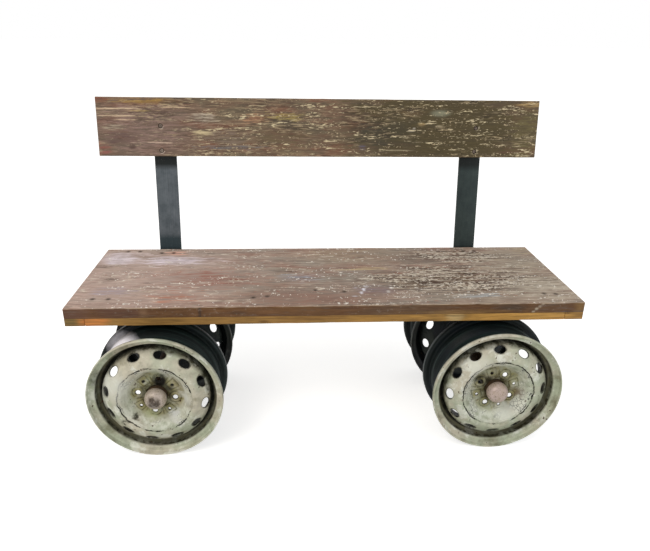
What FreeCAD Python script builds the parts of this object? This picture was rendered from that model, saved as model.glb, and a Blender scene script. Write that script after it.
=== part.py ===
import FreeCAD, Part
import math
import os

from FreeCAD import Vector

# Wheel rim bench, in millimetres: a plank seat and a plank back on two L-shaped flat bars,
# each bar welded on top of a front and a rear steel wheel rim.
# +X is to the sitter's left, which is on the right when the bench is seen from the front,
# -Y is the front, +Z is up, and the floor is at Z = 0.

# Seat
seat_length = 1410.0
seat_depth = 453.0
front_plank_depth = 262.0
plank_gap = 3.0
plank_thickness = 30.0
edge_break = 2.0
batten_thickness = 22.0
end_batten_width = 52.0
long_batten_width = 58.0
middle_batten_width = 90.0
batten_gap = 0.5

# Back board
board_length = 1410.0
board_height = 181.0
board_thickness = 30.0
board_lift = 301.5
recline_degrees = 8.1

# L-shaped flat bars
bar_width = 70.0
bar_thickness = 8.0
bar_bend_radius = 12.0
bar_front_recess = 20.0
upright_setback = 18.0
upright_stop = 25.0
bar_spacing = 1000.0
base_shift = -5.0

# Wheel rims
rim_spacing = 939.0
rim_radius = 182.0
rim_width = 134.0
rim_overhang = 61.0
rim_pair_gap = 177.0
right_lead = 5.0
rim_sheet = 3.0
flange_width = 11.0
flange_curl_radius = 7.0
lip_reach = 8.0
bead_seat_radius = 164.7
bead_seat_width = 20.0
bead_taper = 1.8
well_radius = 148.0
well_front_slope = 9.0
well_floor_width = 34.0
well_rear_slope = 18.0
valve_hole_radius = 5.7

# Pressed wheel discs, with depths measured back from the rim's front plane
disc_sheet = 3.5
skirt_end_depth = 66.0
shoulder_depth = 16.0
shoulder_bend_radius = 6.0
slope_top_radius = 112.0
crown_depth = -8.0
crown_outer_radius = 106.0
crown_inner_radius = 99.0
crown_step = 2.5
bowl_top_radius = 92.0
bowl_bottom_radius = 73.0
nave_depth = 22.0
bore_lip_depth = 7.0
vent_count = 12
vent_half_width = 16.5
vent_half_height = 11.0
vent_circle_radius = 131.5
slope_degrees = 36.0
lug_count = 4
lug_circle = 100.0
lug_hole_radius = 7.5
lug_cone_radius = 10.5
lug_boss_radius = 15.5
lug_boss_height = 3.5
pad_circle_radius = 54.0
pad_length = 24.0
pad_width = 22.0
pad_height = 3.5
pad_hole_radius = 4.0

# Axle tubes and their push-on caps
tube_radius = 27.0
tube_wall = 3.5
tube_tail = 12.0
cap_sheet = 2.0
cap_height = 24.0
cap_skirt = 7.0
cap_boss_radius = 7.0
cap_boss_height = 2.5

# Fastenings
bolt_radius = 4.0
bolt_hole_radius = 4.4
bolt_head_radius = 6.5
bolt_head_height = 5.0
bolt_recess_radius = 7.5
bolt_recess_depth = 6.5
bolt_low_height = 18.0
bolt_high_height = 94.0
bolt_offset = 5.0
bolt_tail = 3.0
nut_across_flats = 13.0
nut_height = 6.5
screw_radius = 3.0
screw_head_radius = 6.0
screw_head_height = 3.2
screw_spacing = 38.0
under_screw_head_height = 4.0
under_screw_reach = 40.0
screw_inset = 38.0

# Welds
weld_leg = 5.0
weld_wedge_reach = 28.0

# Fits and cutting overrun
fit_gap = 0.3
overrun = 20.0

# Places worked out from the sizes above
recline = math.radians(recline_degrees)
rim_top = 2 * rim_radius
bar_top = rim_top + bar_thickness
plank_bottom = bar_top + batten_thickness
seat_top = plank_bottom + plank_thickness
upright_lean = math.tan(recline)
cap_radius = tube_radius + fit_gap + cap_sheet
well_inner_radius = well_radius - rim_sheet
front_reach = rim_overhang + cap_height + max(cap_boss_height, right_lead)
upright_lift = board_height - upright_stop
upright_depth = board_thickness + bar_thickness
bolt_end_depth = upright_depth + nut_height + bolt_tail
board_setback = upright_setback - board_thickness / math.cos(recline) + board_lift * upright_lean
hindmost_points = [
    (board_height, board_thickness),
    (upright_lift, upright_depth),
    (bolt_high_height + bolt_radius, bolt_end_depth),
]
back_reach = seat_depth + board_setback + max(
    lift * math.sin(recline) + depth * math.cos(recline) for lift, depth in hindmost_points
)
seat_front_y = (front_reach - back_reach) / 2
seat_back_y = seat_front_y + seat_depth
sides = {"left": -1, "right": 1}
lead = {"left": 0, "right": right_lead}
row_start = {"front": 0, "rear": rim_width + rim_pair_gap}
rim_front_y = {
    row + "_" + side: seat_front_y - rim_overhang - lead[side] + row_start[row]
    for row in row_start
    for side in sides
}
bar_x = {side: base_shift + sign * bar_spacing / 2 for side, sign in sides.items()}
rim_x = {side: base_shift + sign * rim_spacing / 2 for side, sign in sides.items()}

# Turn of each rim about its axis, as it happened to be welded on: vent holes, lug holes,
# then valve hole, in degrees from +X towards +Z
rim_turns = {
    "front_left": (21.0, 80.5, 97.0),
    "front_right": (2.5, 62.0, 84.0),
    "rear_left": (21.0, 12.0, 102.0),
    "rear_right": (8.0, 35.0, 88.0),
}

AXIS_Y = Vector(0, 1, 0)
AXIS_Z = Vector(0, 0, 1)


def sheet_face(points, thickness, radii, place):
    """Closed face of a bent sheet that follows a middle line, rounded at its bends."""
    half = thickness / 2
    left_edges = []
    right_edges = []
    count = len(points)
    directions = []
    for start, end in zip(points, points[1:]):
        run = math.hypot(end[0] - start[0], end[1] - start[1])
        directions.append(((end[0] - start[0]) / run, (end[1] - start[1]) / run))

    def shifted(point, direction, side):
        return (point[0] - direction[1] * side, point[1] + direction[0] * side)

    for side, edges in ((half, left_edges), (-half, right_edges)):
        pen = shifted(points[0], directions[0], side)
        for index in range(1, count - 1):
            before = directions[index - 1]
            after = directions[index]
            turn = math.atan2(
                before[0] * after[1] - before[1] * after[0],
                before[0] * after[0] + before[1] * after[1],
            )
            corner = points[index]
            radius = radii.get(index, 0)
            if radius == 0:
                stretch = side * math.tan(turn / 2)
                flat = shifted(corner, before, side)
                meet = (flat[0] - before[0] * stretch, flat[1] - before[1] * stretch)
                edges.append(Part.LineSegment(place(pen), place(meet)).toShape())
                pen = meet
                continue
            tangent = radius * math.tan(abs(turn) / 2)
            arc_start = (corner[0] - before[0] * tangent, corner[1] - before[1] * tangent)
            arc_end = (corner[0] + after[0] * tangent, corner[1] + after[1] * tangent)
            first = shifted(arc_start, before, side)
            last = shifted(arc_end, after, side)
            handed = math.copysign(1, turn)
            centre = shifted(arc_start, before, handed * radius)
            reach = radius - handed * side
            bisector = (corner[0] - centre[0], corner[1] - centre[1])
            span = math.hypot(*bisector)
            middle = (
                centre[0] + bisector[0] / span * reach,
                centre[1] + bisector[1] / span * reach,
            )
            edges.append(Part.LineSegment(place(pen), place(first)).toShape())
            edges.append(Part.Arc(place(first), place(middle), place(last)).toShape())
            pen = last
        finish = shifted(points[-1], directions[-1], side)
        edges.append(Part.LineSegment(place(pen), place(finish)).toShape())
    caps = []
    for point, direction in ((points[0], directions[0]), (points[-1], directions[-1])):
        caps.append(
            Part.LineSegment(
                place(shifted(point, direction, half)), place(shifted(point, direction, -half))
            ).toShape()
        )
    wire = Part.Wire(Part.__sortEdges__(left_edges + right_edges + caps))
    return Part.Face(wire)


def revolved(face):
    """The solid made by turning a face about the Y axis."""
    solid = face.revolve(Vector(0, 0, 0), AXIS_Y, 360)
    return solid if solid.Volume > 0 else solid.reversed()


def in_radius_and_depth(point):
    return Vector(point[0], point[1], 0)


def in_depth_and_height(point):
    return Vector(0, point[0], point[1])


def turned(shape, degrees):
    """A copy turned about the Y axis, from +X towards +Z."""
    copy = shape.copy()
    copy.rotate(Vector(0, 0, 0), AXIS_Y, -degrees)
    return copy


def plank(length, depth, thickness, corner, edge=0.0):
    """A sawn board with its long top and bottom arrises eased."""
    board = Part.makeBox(length, depth, thickness, corner)
    if edge > 0:
        long_edges = [line for line in board.Edges if abs(line.Length - length) < fit_gap]
        board = board.makeChamfer(edge, long_edges)
    return board


def export(name, shape):
    shape.exportStep(os.path.join("parts", name + ".step"))
    print(name, len(shape.Solids), "solids", round(shape.Volume / 1000), "cm3")


def seat_planks():
    """Two planks side by side, which make the seat top."""
    left = -seat_length / 2
    rear_start = seat_front_y + front_plank_depth + plank_gap
    front = plank(
        seat_length,
        front_plank_depth,
        plank_thickness,
        Vector(left, seat_front_y, plank_bottom),
        edge_break,
    )
    rear = plank(
        seat_length,
        seat_back_y - rear_start,
        plank_thickness,
        Vector(left, rear_start, plank_bottom),
        edge_break,
    )
    return {"seat_plank_front": front, "seat_plank_rear": rear}


def seat_battens():
    """The frame of battens under the planks; its end grain shows at the front corners."""
    left = -seat_length / 2
    right = seat_length / 2
    long_length = seat_length - 2 * (end_batten_width + batten_gap)
    rear_y = seat_back_y - long_batten_width
    middle_start = seat_front_y + long_batten_width + batten_gap
    middle_depth = rear_y - batten_gap - middle_start
    places = {
        "seat_batten_left": (end_batten_width, seat_depth, left, seat_front_y),
        "seat_batten_right": (
            end_batten_width,
            seat_depth,
            right - end_batten_width,
            seat_front_y,
        ),
        "seat_batten_front": (long_length, long_batten_width, -long_length / 2, seat_front_y),
        "seat_batten_rear": (long_length, long_batten_width, -long_length / 2, rear_y),
        "seat_batten_middle": (
            middle_batten_width,
            middle_depth,
            -middle_batten_width / 2,
            middle_start,
        ),
    }
    return {
        name: plank(width, depth, batten_thickness, Vector(x, y, bar_top))
        for name, (width, depth, x, y) in places.items()
    }


def on_board(lift, depth):
    """A point at a height along the back board's slope and a depth behind its front face."""
    return Vector(
        0,
        seat_back_y + board_setback + lift * math.sin(recline) + depth * math.cos(recline),
        seat_top + board_lift + lift * math.cos(recline) - depth * math.sin(recline),
    )


def leaned(shape, lift, depth, x):
    """Stands a shape, drawn with +Y through the board and +Z up along it, on the slope."""
    copy = shape.copy()
    copy.rotate(Vector(0, 0, 0), Vector(1, 0, 0), -recline_degrees)
    copy.translate(on_board(lift, depth) + Vector(x, 0, 0))
    return copy


def bolt_places():
    for side, sign in sides.items():
        for lift in (bolt_low_height, bolt_high_height):
            yield bar_x[side] + sign * bolt_offset, lift


def bolt_holes(radius, start, length):
    return [
        leaned(Part.makeCylinder(radius, length, Vector(0, start, 0), AXIS_Y), lift, 0, x)
        for x, lift in bolt_places()
    ]


def back_board():
    """One reclined plank, with recesses for the bolt heads."""
    board = plank(
        board_length,
        board_thickness,
        board_height,
        Vector(-board_length / 2, 0, 0),
        edge_break,
    )
    board = leaned(board, 0, 0, 0)
    recesses = bolt_holes(bolt_recess_radius, -overrun, overrun + bolt_recess_depth)
    through = bolt_holes(bolt_hole_radius, -overrun, 2 * overrun + board_thickness)
    return board.cut(recesses + through)


def back_bolts():
    """Bolts through the board and the uprights, with their heads sunk in the board."""
    length = bolt_end_depth - bolt_recess_depth
    head_start = bolt_recess_depth - bolt_head_height
    bolts = []
    for x, lift in bolt_places():
        head = Part.makeCylinder(bolt_head_radius, bolt_head_height, Vector(0, head_start, 0), AXIS_Y)
        shank = Part.makeCylinder(bolt_radius, length, Vector(0, bolt_recess_depth, 0), AXIS_Y)
        bolts.append(leaned(head.fuse(shank).removeSplitter(), lift, 0, x))
    return Part.makeCompound(bolts)


def back_nuts():
    """Hexagon nuts on the bolts, behind the uprights."""
    corner_radius = nut_across_flats / 2 / math.cos(math.pi / 6)
    corners = [
        Vector(corner_radius * math.cos(turn), 0, corner_radius * math.sin(turn))
        for turn in (index * math.pi / 3 for index in range(7))
    ]
    hexagon = Part.Face(Part.makePolygon(corners))
    nut = hexagon.extrude(Vector(0, nut_height, 0))
    nut = nut.cut(Part.makeCylinder(bolt_radius, 3 * nut_height, Vector(0, -nut_height, 0), AXIS_Y))
    return Part.makeCompound(
        [leaned(nut, lift, upright_depth, x) for x, lift in bolt_places()]
    )


def screw_places(side, y):
    """Where the two screws of a row cross a bar."""
    return [Vector(bar_x[side] + step * screw_spacing / 2, y, 0) for step in (-1, 1)]


def top_screw(place):
    """A countersunk screw from the seat's top, through plank and batten into the bar."""
    head = Part.makeCone(
        screw_radius,
        screw_head_radius,
        screw_head_height,
        place + Vector(0, 0, seat_top - screw_head_height),
        AXIS_Z,
    )
    length = seat_top - screw_head_height - rim_top
    shank = Part.makeCylinder(screw_radius, length, place + Vector(0, 0, rim_top), AXIS_Z)
    return head.fuse(shank).removeSplitter()


def under_screw(place):
    """A round-headed screw from below, through the bar into batten and plank."""
    head = Part.makeCylinder(
        screw_head_radius,
        under_screw_head_height,
        place + Vector(0, 0, rim_top - under_screw_head_height),
        AXIS_Z,
    )
    shank = Part.makeCylinder(screw_radius, under_screw_reach, place + Vector(0, 0, rim_top), AXIS_Z)
    return head.fuse(shank).removeSplitter()


def seat_screws():
    top = []
    under = []
    for side in sides:
        top += [top_screw(place) for place in screw_places(side, seat_back_y - screw_inset)]
        under += [under_screw(place) for place in screw_places(side, seat_front_y + screw_inset)]
    return {
        "seat_screws_top": Part.makeCompound(top),
        "seat_screws_under": Part.makeCompound(under),
    }


def support_bar(side):
    """Flat bar bent to an L: its foot lies on the rims and its upright carries the board."""
    half = bar_thickness / 2
    foot_z = rim_top + half
    end = on_board(upright_lift, board_thickness + half)
    corner_y = end.y - (end.z - foot_z) * upright_lean
    points = [(seat_front_y + bar_front_recess, foot_z), (corner_y, foot_z), (end.y, end.z)]
    radii = {1: bar_bend_radius + half}
    face = sheet_face(points, bar_thickness, radii, in_depth_and_height)
    bar = face.extrude(Vector(bar_width, 0, 0))
    bar.translate(Vector(bar_x[side] - bar_width / 2, 0, 0))
    return bar


def rim_shape():
    """A rolled drop-centre rim for a tyre, its axis along Y and its front plane at Y = 0.

    Each flange curls over into a lip; the front lip stands in front of that plane.
    """
    half = rim_sheet / 2
    top = rim_radius - half
    seat = bead_seat_radius - half
    taper = seat - bead_taper
    well = well_radius - half
    front_wall = flange_width - half
    rear_wall = rim_width - lip_reach - front_wall
    front_well = flange_width + bead_seat_width + well_front_slope
    rear_well = front_well + well_floor_width
    points = [
        (top, -lip_reach),
        (top, front_wall),
        (seat, front_wall),
        (taper, flange_width + bead_seat_width),
        (well, front_well),
        (well, rear_well),
        (taper, rear_well + well_rear_slope),
        (seat, rear_wall),
        (top, rear_wall),
        (top, rim_width),
    ]
    curls = {1: flange_curl_radius, len(points) - 2: flange_curl_radius}
    return revolved(sheet_face(points, rim_sheet, curls, in_radius_and_depth))


def valve_cutter():
    """A round punch through the slope in front of the well, for a tyre valve."""
    drop = bead_seat_radius - bead_taper - well_radius
    middle = Vector(
        well_radius + (drop - rim_sheet) / 2,
        flange_width + bead_seat_width + well_front_slope / 2,
        0,
    )
    normal = Vector(well_front_slope, drop, 0).normalize()
    return Part.makeCylinder(valve_hole_radius, 4 * rim_sheet, middle - normal * 2 * rim_sheet, normal)


def disc_middle_line():
    skirt = well_inner_radius - fit_gap - disc_sheet / 2
    bore = tube_radius + fit_gap + disc_sheet / 2
    fall = math.tan(math.radians(slope_degrees))
    return [
        (skirt, skirt_end_depth),
        (skirt, shoulder_depth),
        (slope_top_radius, shoulder_depth - (skirt - slope_top_radius) * fall),
        (crown_outer_radius, crown_depth),
        (crown_inner_radius, crown_depth),
        (bowl_top_radius, crown_depth + crown_step),
        (bowl_bottom_radius, nave_depth),
        (bore, nave_depth),
        (bore, nave_depth + bore_lip_depth),
    ]


def vent_cutter():
    """An oval punch, longer around the wheel, that meets the disc's outer slope squarely."""
    slope = math.radians(slope_degrees)
    skirt = well_inner_radius - fit_gap - disc_sheet / 2
    depth = shoulder_depth - (skirt - vent_circle_radius) * math.tan(slope)
    normal = Vector(math.sin(slope), -math.cos(slope), 0)
    up_slope = Vector(math.cos(slope), math.sin(slope), 0)
    middle = Vector(vent_circle_radius, depth, 0) - normal * disc_sheet
    oval = Part.Ellipse(middle + AXIS_Z * vent_half_width, middle + up_slope * vent_half_height, middle)
    return Part.Face(Part.Wire(oval.toShape())).extrude(normal * 2 * disc_sheet)


def lug_boss():
    """A raised seat for a wheel nut, on the nave's front face."""
    face_depth = nave_depth - disc_sheet / 2
    return Part.makeCone(
        lug_boss_radius,
        lug_cone_radius,
        lug_boss_height,
        Vector(lug_circle / 2, face_depth, 0),
        -AXIS_Y,
    )


def lug_cutter():
    front = nave_depth - disc_sheet / 2 - lug_boss_height
    hole = Part.makeCylinder(lug_hole_radius, 2 * overrun, Vector(lug_circle / 2, front - overrun, 0), AXIS_Y)
    cone = Part.makeCone(
        lug_cone_radius,
        lug_hole_radius,
        lug_boss_height,
        Vector(lug_circle / 2, front, 0),
        AXIS_Y,
    )
    return hole.fuse(cone)


def nave_pad():
    """A raised, slightly tapered pad between two wheel-nut seats."""
    face_depth = nave_depth - disc_sheet / 2
    inner = pad_circle_radius - pad_length / 2
    outer = pad_circle_radius + pad_length / 2
    narrow = pad_width * inner / outer / 2
    wide = pad_width / 2
    corners = [
        Vector(inner, face_depth, -narrow),
        Vector(outer, face_depth, -wide),
        Vector(outer, face_depth, wide),
        Vector(inner, face_depth, narrow),
    ]
    outline = Part.Face(Part.makePolygon(corners + corners[:1]))
    return outline.extrude(Vector(0, -pad_height, 0))


def disc_shape(vent_turn, lug_turn):
    """A pressed wheel disc: skirt, vented slope, crown, bowl and nave with its wheel-nut seats."""
    bends = {1: shoulder_bend_radius}
    disc = revolved(sheet_face(disc_middle_line(), disc_sheet, bends, in_radius_and_depth))
    lug_step = 360 / lug_count
    lug_turns = [lug_turn + index * lug_step for index in range(lug_count)]
    raised = [turned(lug_boss(), turn) for turn in lug_turns]
    raised += [turned(nave_pad(), turn + lug_step / 2) for turn in lug_turns]
    disc = disc.fuse(raised)
    pad_hole = Part.makeCylinder(
        pad_hole_radius, 2 * overrun, Vector(pad_circle_radius, nave_depth - overrun, 0), AXIS_Y
    )
    cutters = [turned(lug_cutter(), turn) for turn in lug_turns]
    cutters += [turned(pad_hole, turn + lug_step / 2) for turn in lug_turns]
    vent_step = 360 / vent_count
    cutters += [turned(vent_cutter(), vent_turn + index * vent_step) for index in range(vent_count)]
    return disc.cut(cutters).removeSplitter()


def tube_end_depth():
    """How far behind the front rim's front plane the axle tube ends."""
    return rim_width + rim_pair_gap + nave_depth + tube_tail


def axle_tube():
    length = tube_end_depth()
    outer = Part.makeCylinder(tube_radius, length, Vector(0, 0, 0), AXIS_Y)
    return outer.cut(Part.makeCylinder(tube_radius - tube_wall, length, Vector(0, 0, 0), AXIS_Y))


def domed_cap(with_boss):
    """A push-on cap: a short skirt over the tube and a shallow dome in front of it."""
    def dome(radius, height):
        sphere_radius = (radius * radius + height * height) / (2 * height)
        ball = Part.makeSphere(sphere_radius, Vector(0, sphere_radius - height, 0))
        front = Part.makeBox(
            2 * cap_radius, height, 2 * cap_radius, Vector(-cap_radius, -height, -cap_radius)
        )
        return ball.common(front)

    outside = dome(cap_radius, cap_height)
    outside = outside.fuse(Part.makeCylinder(cap_radius, cap_skirt, Vector(0, 0, 0), AXIS_Y))
    if with_boss:
        boss_length = cap_boss_height + cap_sheet
        boss_front = Vector(0, -cap_height - cap_boss_height, 0)
        outside = outside.fuse(Part.makeCylinder(cap_boss_radius, boss_length, boss_front, AXIS_Y))
    inner_radius = cap_radius - cap_sheet
    inside = dome(inner_radius, cap_height - cap_sheet)
    inside = inside.fuse(Part.makeCylinder(inner_radius, cap_skirt, Vector(0, 0, 0), AXIS_Y))
    return outside.cut(inside).removeSplitter()


def tube_welds():
    """Fillet welds round the tube: behind the front disc and in front of the rear one."""
    inner = tube_radius
    lip_end = nave_depth + bore_lip_depth
    rear_face = rim_width + rim_pair_gap + nave_depth - disc_sheet / 2
    welds = []
    for start, end in ((lip_end, lip_end + weld_leg), (rear_face, rear_face - weld_leg)):
        corners = [Vector(inner, start, 0), Vector(inner + weld_leg, start, 0), Vector(inner, end, 0)]
        welds.append(revolved(Part.Face(Part.makePolygon(corners + corners[:1]))))
    return Part.makeCompound(welds)


def bar_welds(side):
    """Welds between a bar's foot and each rim flange that it crosses."""
    centre_x = rim_x[side]
    edge = -sides[side]
    bar_edge_x = bar_x[side] + edge * bar_width / 2
    flange_starts = [
        rim_front_y["front_" + side] + rim_width - flange_width,
        rim_front_y["rear_" + side] - lip_reach,
        rim_front_y["rear_" + side] + rim_width - flange_width,
    ]
    welds = []
    for start in flange_starts:
        corners = [
            Vector(bar_edge_x, start, rim_top),
            Vector(bar_edge_x + edge * weld_leg, start, rim_top),
            Vector(bar_edge_x, start, rim_top + weld_leg),
        ]
        fillet = Part.Face(Part.makePolygon(corners + corners[:1]))
        welds.append(fillet.extrude(Vector(0, flange_width, 0)))
        near = centre_x - weld_wedge_reach if edge > 0 else centre_x
        wedge = Part.makeBox(
            weld_wedge_reach, flange_width, weld_leg, Vector(near, start, rim_top - weld_leg)
        )
        rim_room = Part.makeCylinder(
            rim_radius + fit_gap,
            3 * flange_width,
            Vector(centre_x, start - flange_width, rim_radius),
            AXIS_Y,
        )
        welds.append(wedge.cut(rim_room))
    return Part.makeCompound(welds)


def wheels():
    """Two pairs of rims with their discs, and the tube, cap and welds of each pair."""
    rim = rim_shape()
    nodes = {}
    for name, (vent_turn, lug_turn, valve_turn) in rim_turns.items():
        side = name.split("_")[1]
        place = Vector(rim_x[side], rim_front_y[name], rim_radius)
        nodes["rim_" + name] = rim.cut(turned(valve_cutter(), valve_turn)).translated(place)
        nodes["disc_" + name] = disc_shape(vent_turn, lug_turn).translated(place)
    for side in sides:
        place = Vector(rim_x[side], rim_front_y["front_" + side], rim_radius)
        nodes["axle_tube_" + side] = axle_tube().translated(place)
        nodes["axle_cap_" + side] = domed_cap(side == "left").translated(place)
        nodes["tube_welds_" + side] = tube_welds().translated(place)
        nodes["bar_welds_" + side] = bar_welds(side)
    return nodes


def build():
    nodes = {}
    nodes.update(seat_planks())
    nodes.update(seat_battens())
    screws = seat_screws()
    nodes["back_board"] = back_board()
    nodes["back_bolts"] = back_bolts()
    nodes["back_nuts"] = back_nuts()
    holes = bolt_holes(bolt_hole_radius, -overrun, 3 * overrun + board_thickness)
    for side in sides:
        nodes["support_bar_" + side] = support_bar(side).cut(holes)
    for shape in screws.values():
        for name in list(nodes):
            if name.startswith("seat_") or name.startswith("support_"):
                nodes[name] = nodes[name].cut(shape)
    nodes.update(screws)
    nodes.update(wheels())
    return nodes


os.makedirs("parts", exist_ok=True)
for node_name, node_shape in build().items():
    export(node_name, node_shape)
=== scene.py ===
import math

import bmesh
import bpy
import numpy as np
from mathutils import Matrix, Vector


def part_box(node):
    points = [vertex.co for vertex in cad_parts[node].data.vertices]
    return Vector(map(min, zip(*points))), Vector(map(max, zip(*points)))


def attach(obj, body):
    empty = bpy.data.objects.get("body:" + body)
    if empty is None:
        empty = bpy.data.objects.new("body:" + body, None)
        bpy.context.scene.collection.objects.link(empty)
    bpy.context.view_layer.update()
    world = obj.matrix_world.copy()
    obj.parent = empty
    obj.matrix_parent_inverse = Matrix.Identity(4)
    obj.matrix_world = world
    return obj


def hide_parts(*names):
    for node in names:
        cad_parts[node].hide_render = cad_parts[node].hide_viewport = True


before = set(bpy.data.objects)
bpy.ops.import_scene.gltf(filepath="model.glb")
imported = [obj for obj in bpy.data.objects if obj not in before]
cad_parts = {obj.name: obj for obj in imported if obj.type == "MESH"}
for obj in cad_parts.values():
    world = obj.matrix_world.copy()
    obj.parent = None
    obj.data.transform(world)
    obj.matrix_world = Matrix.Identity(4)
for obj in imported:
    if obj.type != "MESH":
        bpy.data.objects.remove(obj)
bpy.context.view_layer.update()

# Plank bench on wheel rims. Metres, +X to the right when it is seen from the front, -Y the front.
# Each dressed piece takes its place from the CAD node that it stands for; sizes in mm say so.

mm = 0.001
scene = bpy.context.scene


# Helpers

def toLinear(code):     # sRGB hex colour to the linear values that shaders use
    parts = [int(code[i:i + 2], 16) / 255 for i in (1, 3, 5)]
    return tuple(c / 12.92 if c <= 0.04045 else ((c + 0.055) / 1.055) ** 2.4 for c in parts) + (1.0,)


def addNode(tree, kind, inputs=None, **settings):
    # one node with its settings and links; a node given as an input stands for its first live output
    homes = ("GeometryNode", "FunctionNode", "ShaderNode", "Node")
    if tree.type == "SHADER":
        homes = homes[2:]
    node = tree.nodes.new(next(home + kind for home in homes if hasattr(bpy.types, home + kind)))
    for key, value in settings.items():
        setattr(node, key, value)
    for key, value in (inputs or {}).items():
        if isinstance(value, bpy.types.Node):
            value = next(socket for socket in value.outputs if socket.enabled)
        if isinstance(value, bpy.types.NodeSocket):
            tree.links.new(value, node.inputs[key])
        else:
            node.inputs[key].default_value = toLinear(value) if str(value).startswith("#") else value
    return node


def smoothStep(low, high, value):
    t = np.clip((value - low) / (high - low), 0, 1)
    return t * t * (3 - 2 * t)


def waveNoise(a, b, seed):      # smooth random waves between -1 and 1
    size = 128
    table = np.random.default_rng(seed).uniform(-1, 1, (size, size))
    i, j = np.floor(a).astype(int), np.floor(b).astype(int)
    s, t = a - i, b - j
    s, t = s * s * (3 - 2 * s), t * t * (3 - 2 * t)
    low = table[i % size, j % size] * (1 - s) + table[(i + 1) % size, j % size] * s
    high = table[i % size, (j + 1) % size] * (1 - s) + table[(i + 1) % size, (j + 1) % size] * s
    return low * (1 - t) + high * t


def layeredNoise(a, b, seed, layers=4):     # the same, with finer waves added
    total = sum(waveNoise(a * 2 ** k, b * 2 ** k, seed + k) * 0.5 ** k for k in range(layers))
    return total / (2 - 0.5 ** (layers - 1))


def titleOf(words):     # "front_left" as "FrontLeft", for the names of pieces
    return "".join(word.capitalize() for word in words.split("_"))


def addObject(name, data):
    thing = bpy.data.objects.new(name, data)
    scene.collection.objects.link(thing)
    return thing


def addPiece(name, mesh, nodes, material=None):   # one finished piece, standing for CAD nodes
    piece = addObject(name, mesh)
    if material:
        mesh.materials.clear()
        mesh.materials.append(material)
    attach(piece, "root")
    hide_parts(*nodes)
    return piece


def setAttribute(mesh, name, kind, values):
    key = {"FLOAT": "value", "FLOAT_COLOR": "color", "FLOAT_VECTOR": "vector"}[kind]
    mesh.attributes.new(name, kind, "POINT").data.foreach_set(key, np.ascontiguousarray(values).ravel())


def buildMesh(name, points, faces, attributes):
    mesh = bpy.data.meshes.new(name)
    mesh.from_pydata(np.asarray(points).tolist(), [], [list(face) for face in faces])
    for label, kind, values in attributes:
        setAttribute(mesh, label, kind, values)
    mesh.shade_smooth()
    return mesh


def turnOutwards(mesh):
    work = bmesh.new()
    work.from_mesh(mesh)
    bmesh.ops.recalc_face_normals(work, faces=work.faces)
    work.to_mesh(mesh)
    work.free()


def takeMesh(worker):       # the plain mesh that a working object's modifiers give; the object goes
    graph = bpy.context.evaluated_depsgraph_get()
    shown = worker.evaluated_get(graph)
    mesh = bpy.data.meshes.new_from_object(shown, preserve_all_data_layers=True, depsgraph=graph)
    worker.modifiers.clear()
    bpy.data.objects.remove(worker)
    turnOutwards(mesh)
    return mesh


def gridQuads(rows, cols):      # the points of a grid that closes on itself across, and its faces
    index = np.arange(rows * cols).reshape(rows, cols)
    beside = np.roll(index, -1, 1)
    quads = np.stack([index[:-1], beside[:-1], beside[1:], index[1:]], -1).reshape(-1, 4)
    return index, quads


def punch(flat, quads, holes, reach):
    # opens holes in a grid: drops the faces inside each ellipse and pulls their last corners to its edge
    keep = np.ones(len(quads), bool)
    for across, up, halfA, halfB, turn in holes:
        c, s = math.cos(turn), math.sin(turn)
        dx, dy = flat[:, 0] - across, flat[:, 1] - up
        a, b = (dx * c + dy * s) / halfA, (dy * c - dx * s) / halfB
        far = np.maximum(np.hypot(a, b), 1e-6)
        inside = (far < 1) & reach
        keep &= ~inside[quads].all(axis=1)
        a, b = a / far * halfA, b / far * halfB
        flat[inside] = np.stack([across + a * c - b * s, up + a * s + b * c], 1)[inside]
    return keep


def growTree(name, sizes):      # an empty Geometry Nodes tree with named inputs
    tree = bpy.data.node_groups.new(name, "GeometryNodeTree")
    for label, kind in (("Geometry", "Geometry"),) + sizes + (("Material", "Material"),):
        tree.interface.new_socket(label, in_out="INPUT", socket_type="NodeSocket" + kind)
    tree.interface.new_socket("Geometry", in_out="OUTPUT", socket_type="NodeSocketGeometry")
    return tree, addNode(tree, "GroupInput").outputs


def endTree(tree, geometry, given):     # real faces, smooth, with their material
    real = addNode(tree, "RealizeInstances", {0: geometry})
    smooth = addNode(tree, "SetShadeSmooth", {0: real})
    dressed = addNode(tree, "SetMaterial", {0: smooth, "Material": given["Material"]})
    addNode(tree, "GroupOutput", {0: dressed})


def growMesh(name, tree, source, values):       # runs a tree on a mesh and keeps the plain result
    grower = addObject(name, source)
    modifier = grower.modifiers.new(name, "NODES")
    modifier.node_group = tree
    for item in tree.interface.items_tree:
        if item.in_out == "INPUT" and item.name in values:
            modifier[item.identifier] = values[item.name]
    return takeMesh(grower)


def pathMesh(points, closed=False, outside=None):      # a line of points, for the trees to follow
    mesh = bpy.data.meshes.new("path")
    edges = [(i, i + 1) for i in range(len(points) - 1)]
    if closed:
        edges.append((len(points) - 1, 0))
    mesh.from_pydata([tuple(point) for point in points], edges, [])
    if outside is not None:
        setAttribute(mesh, "outside", "FLOAT", np.array(outside, float))
    return mesh


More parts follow.
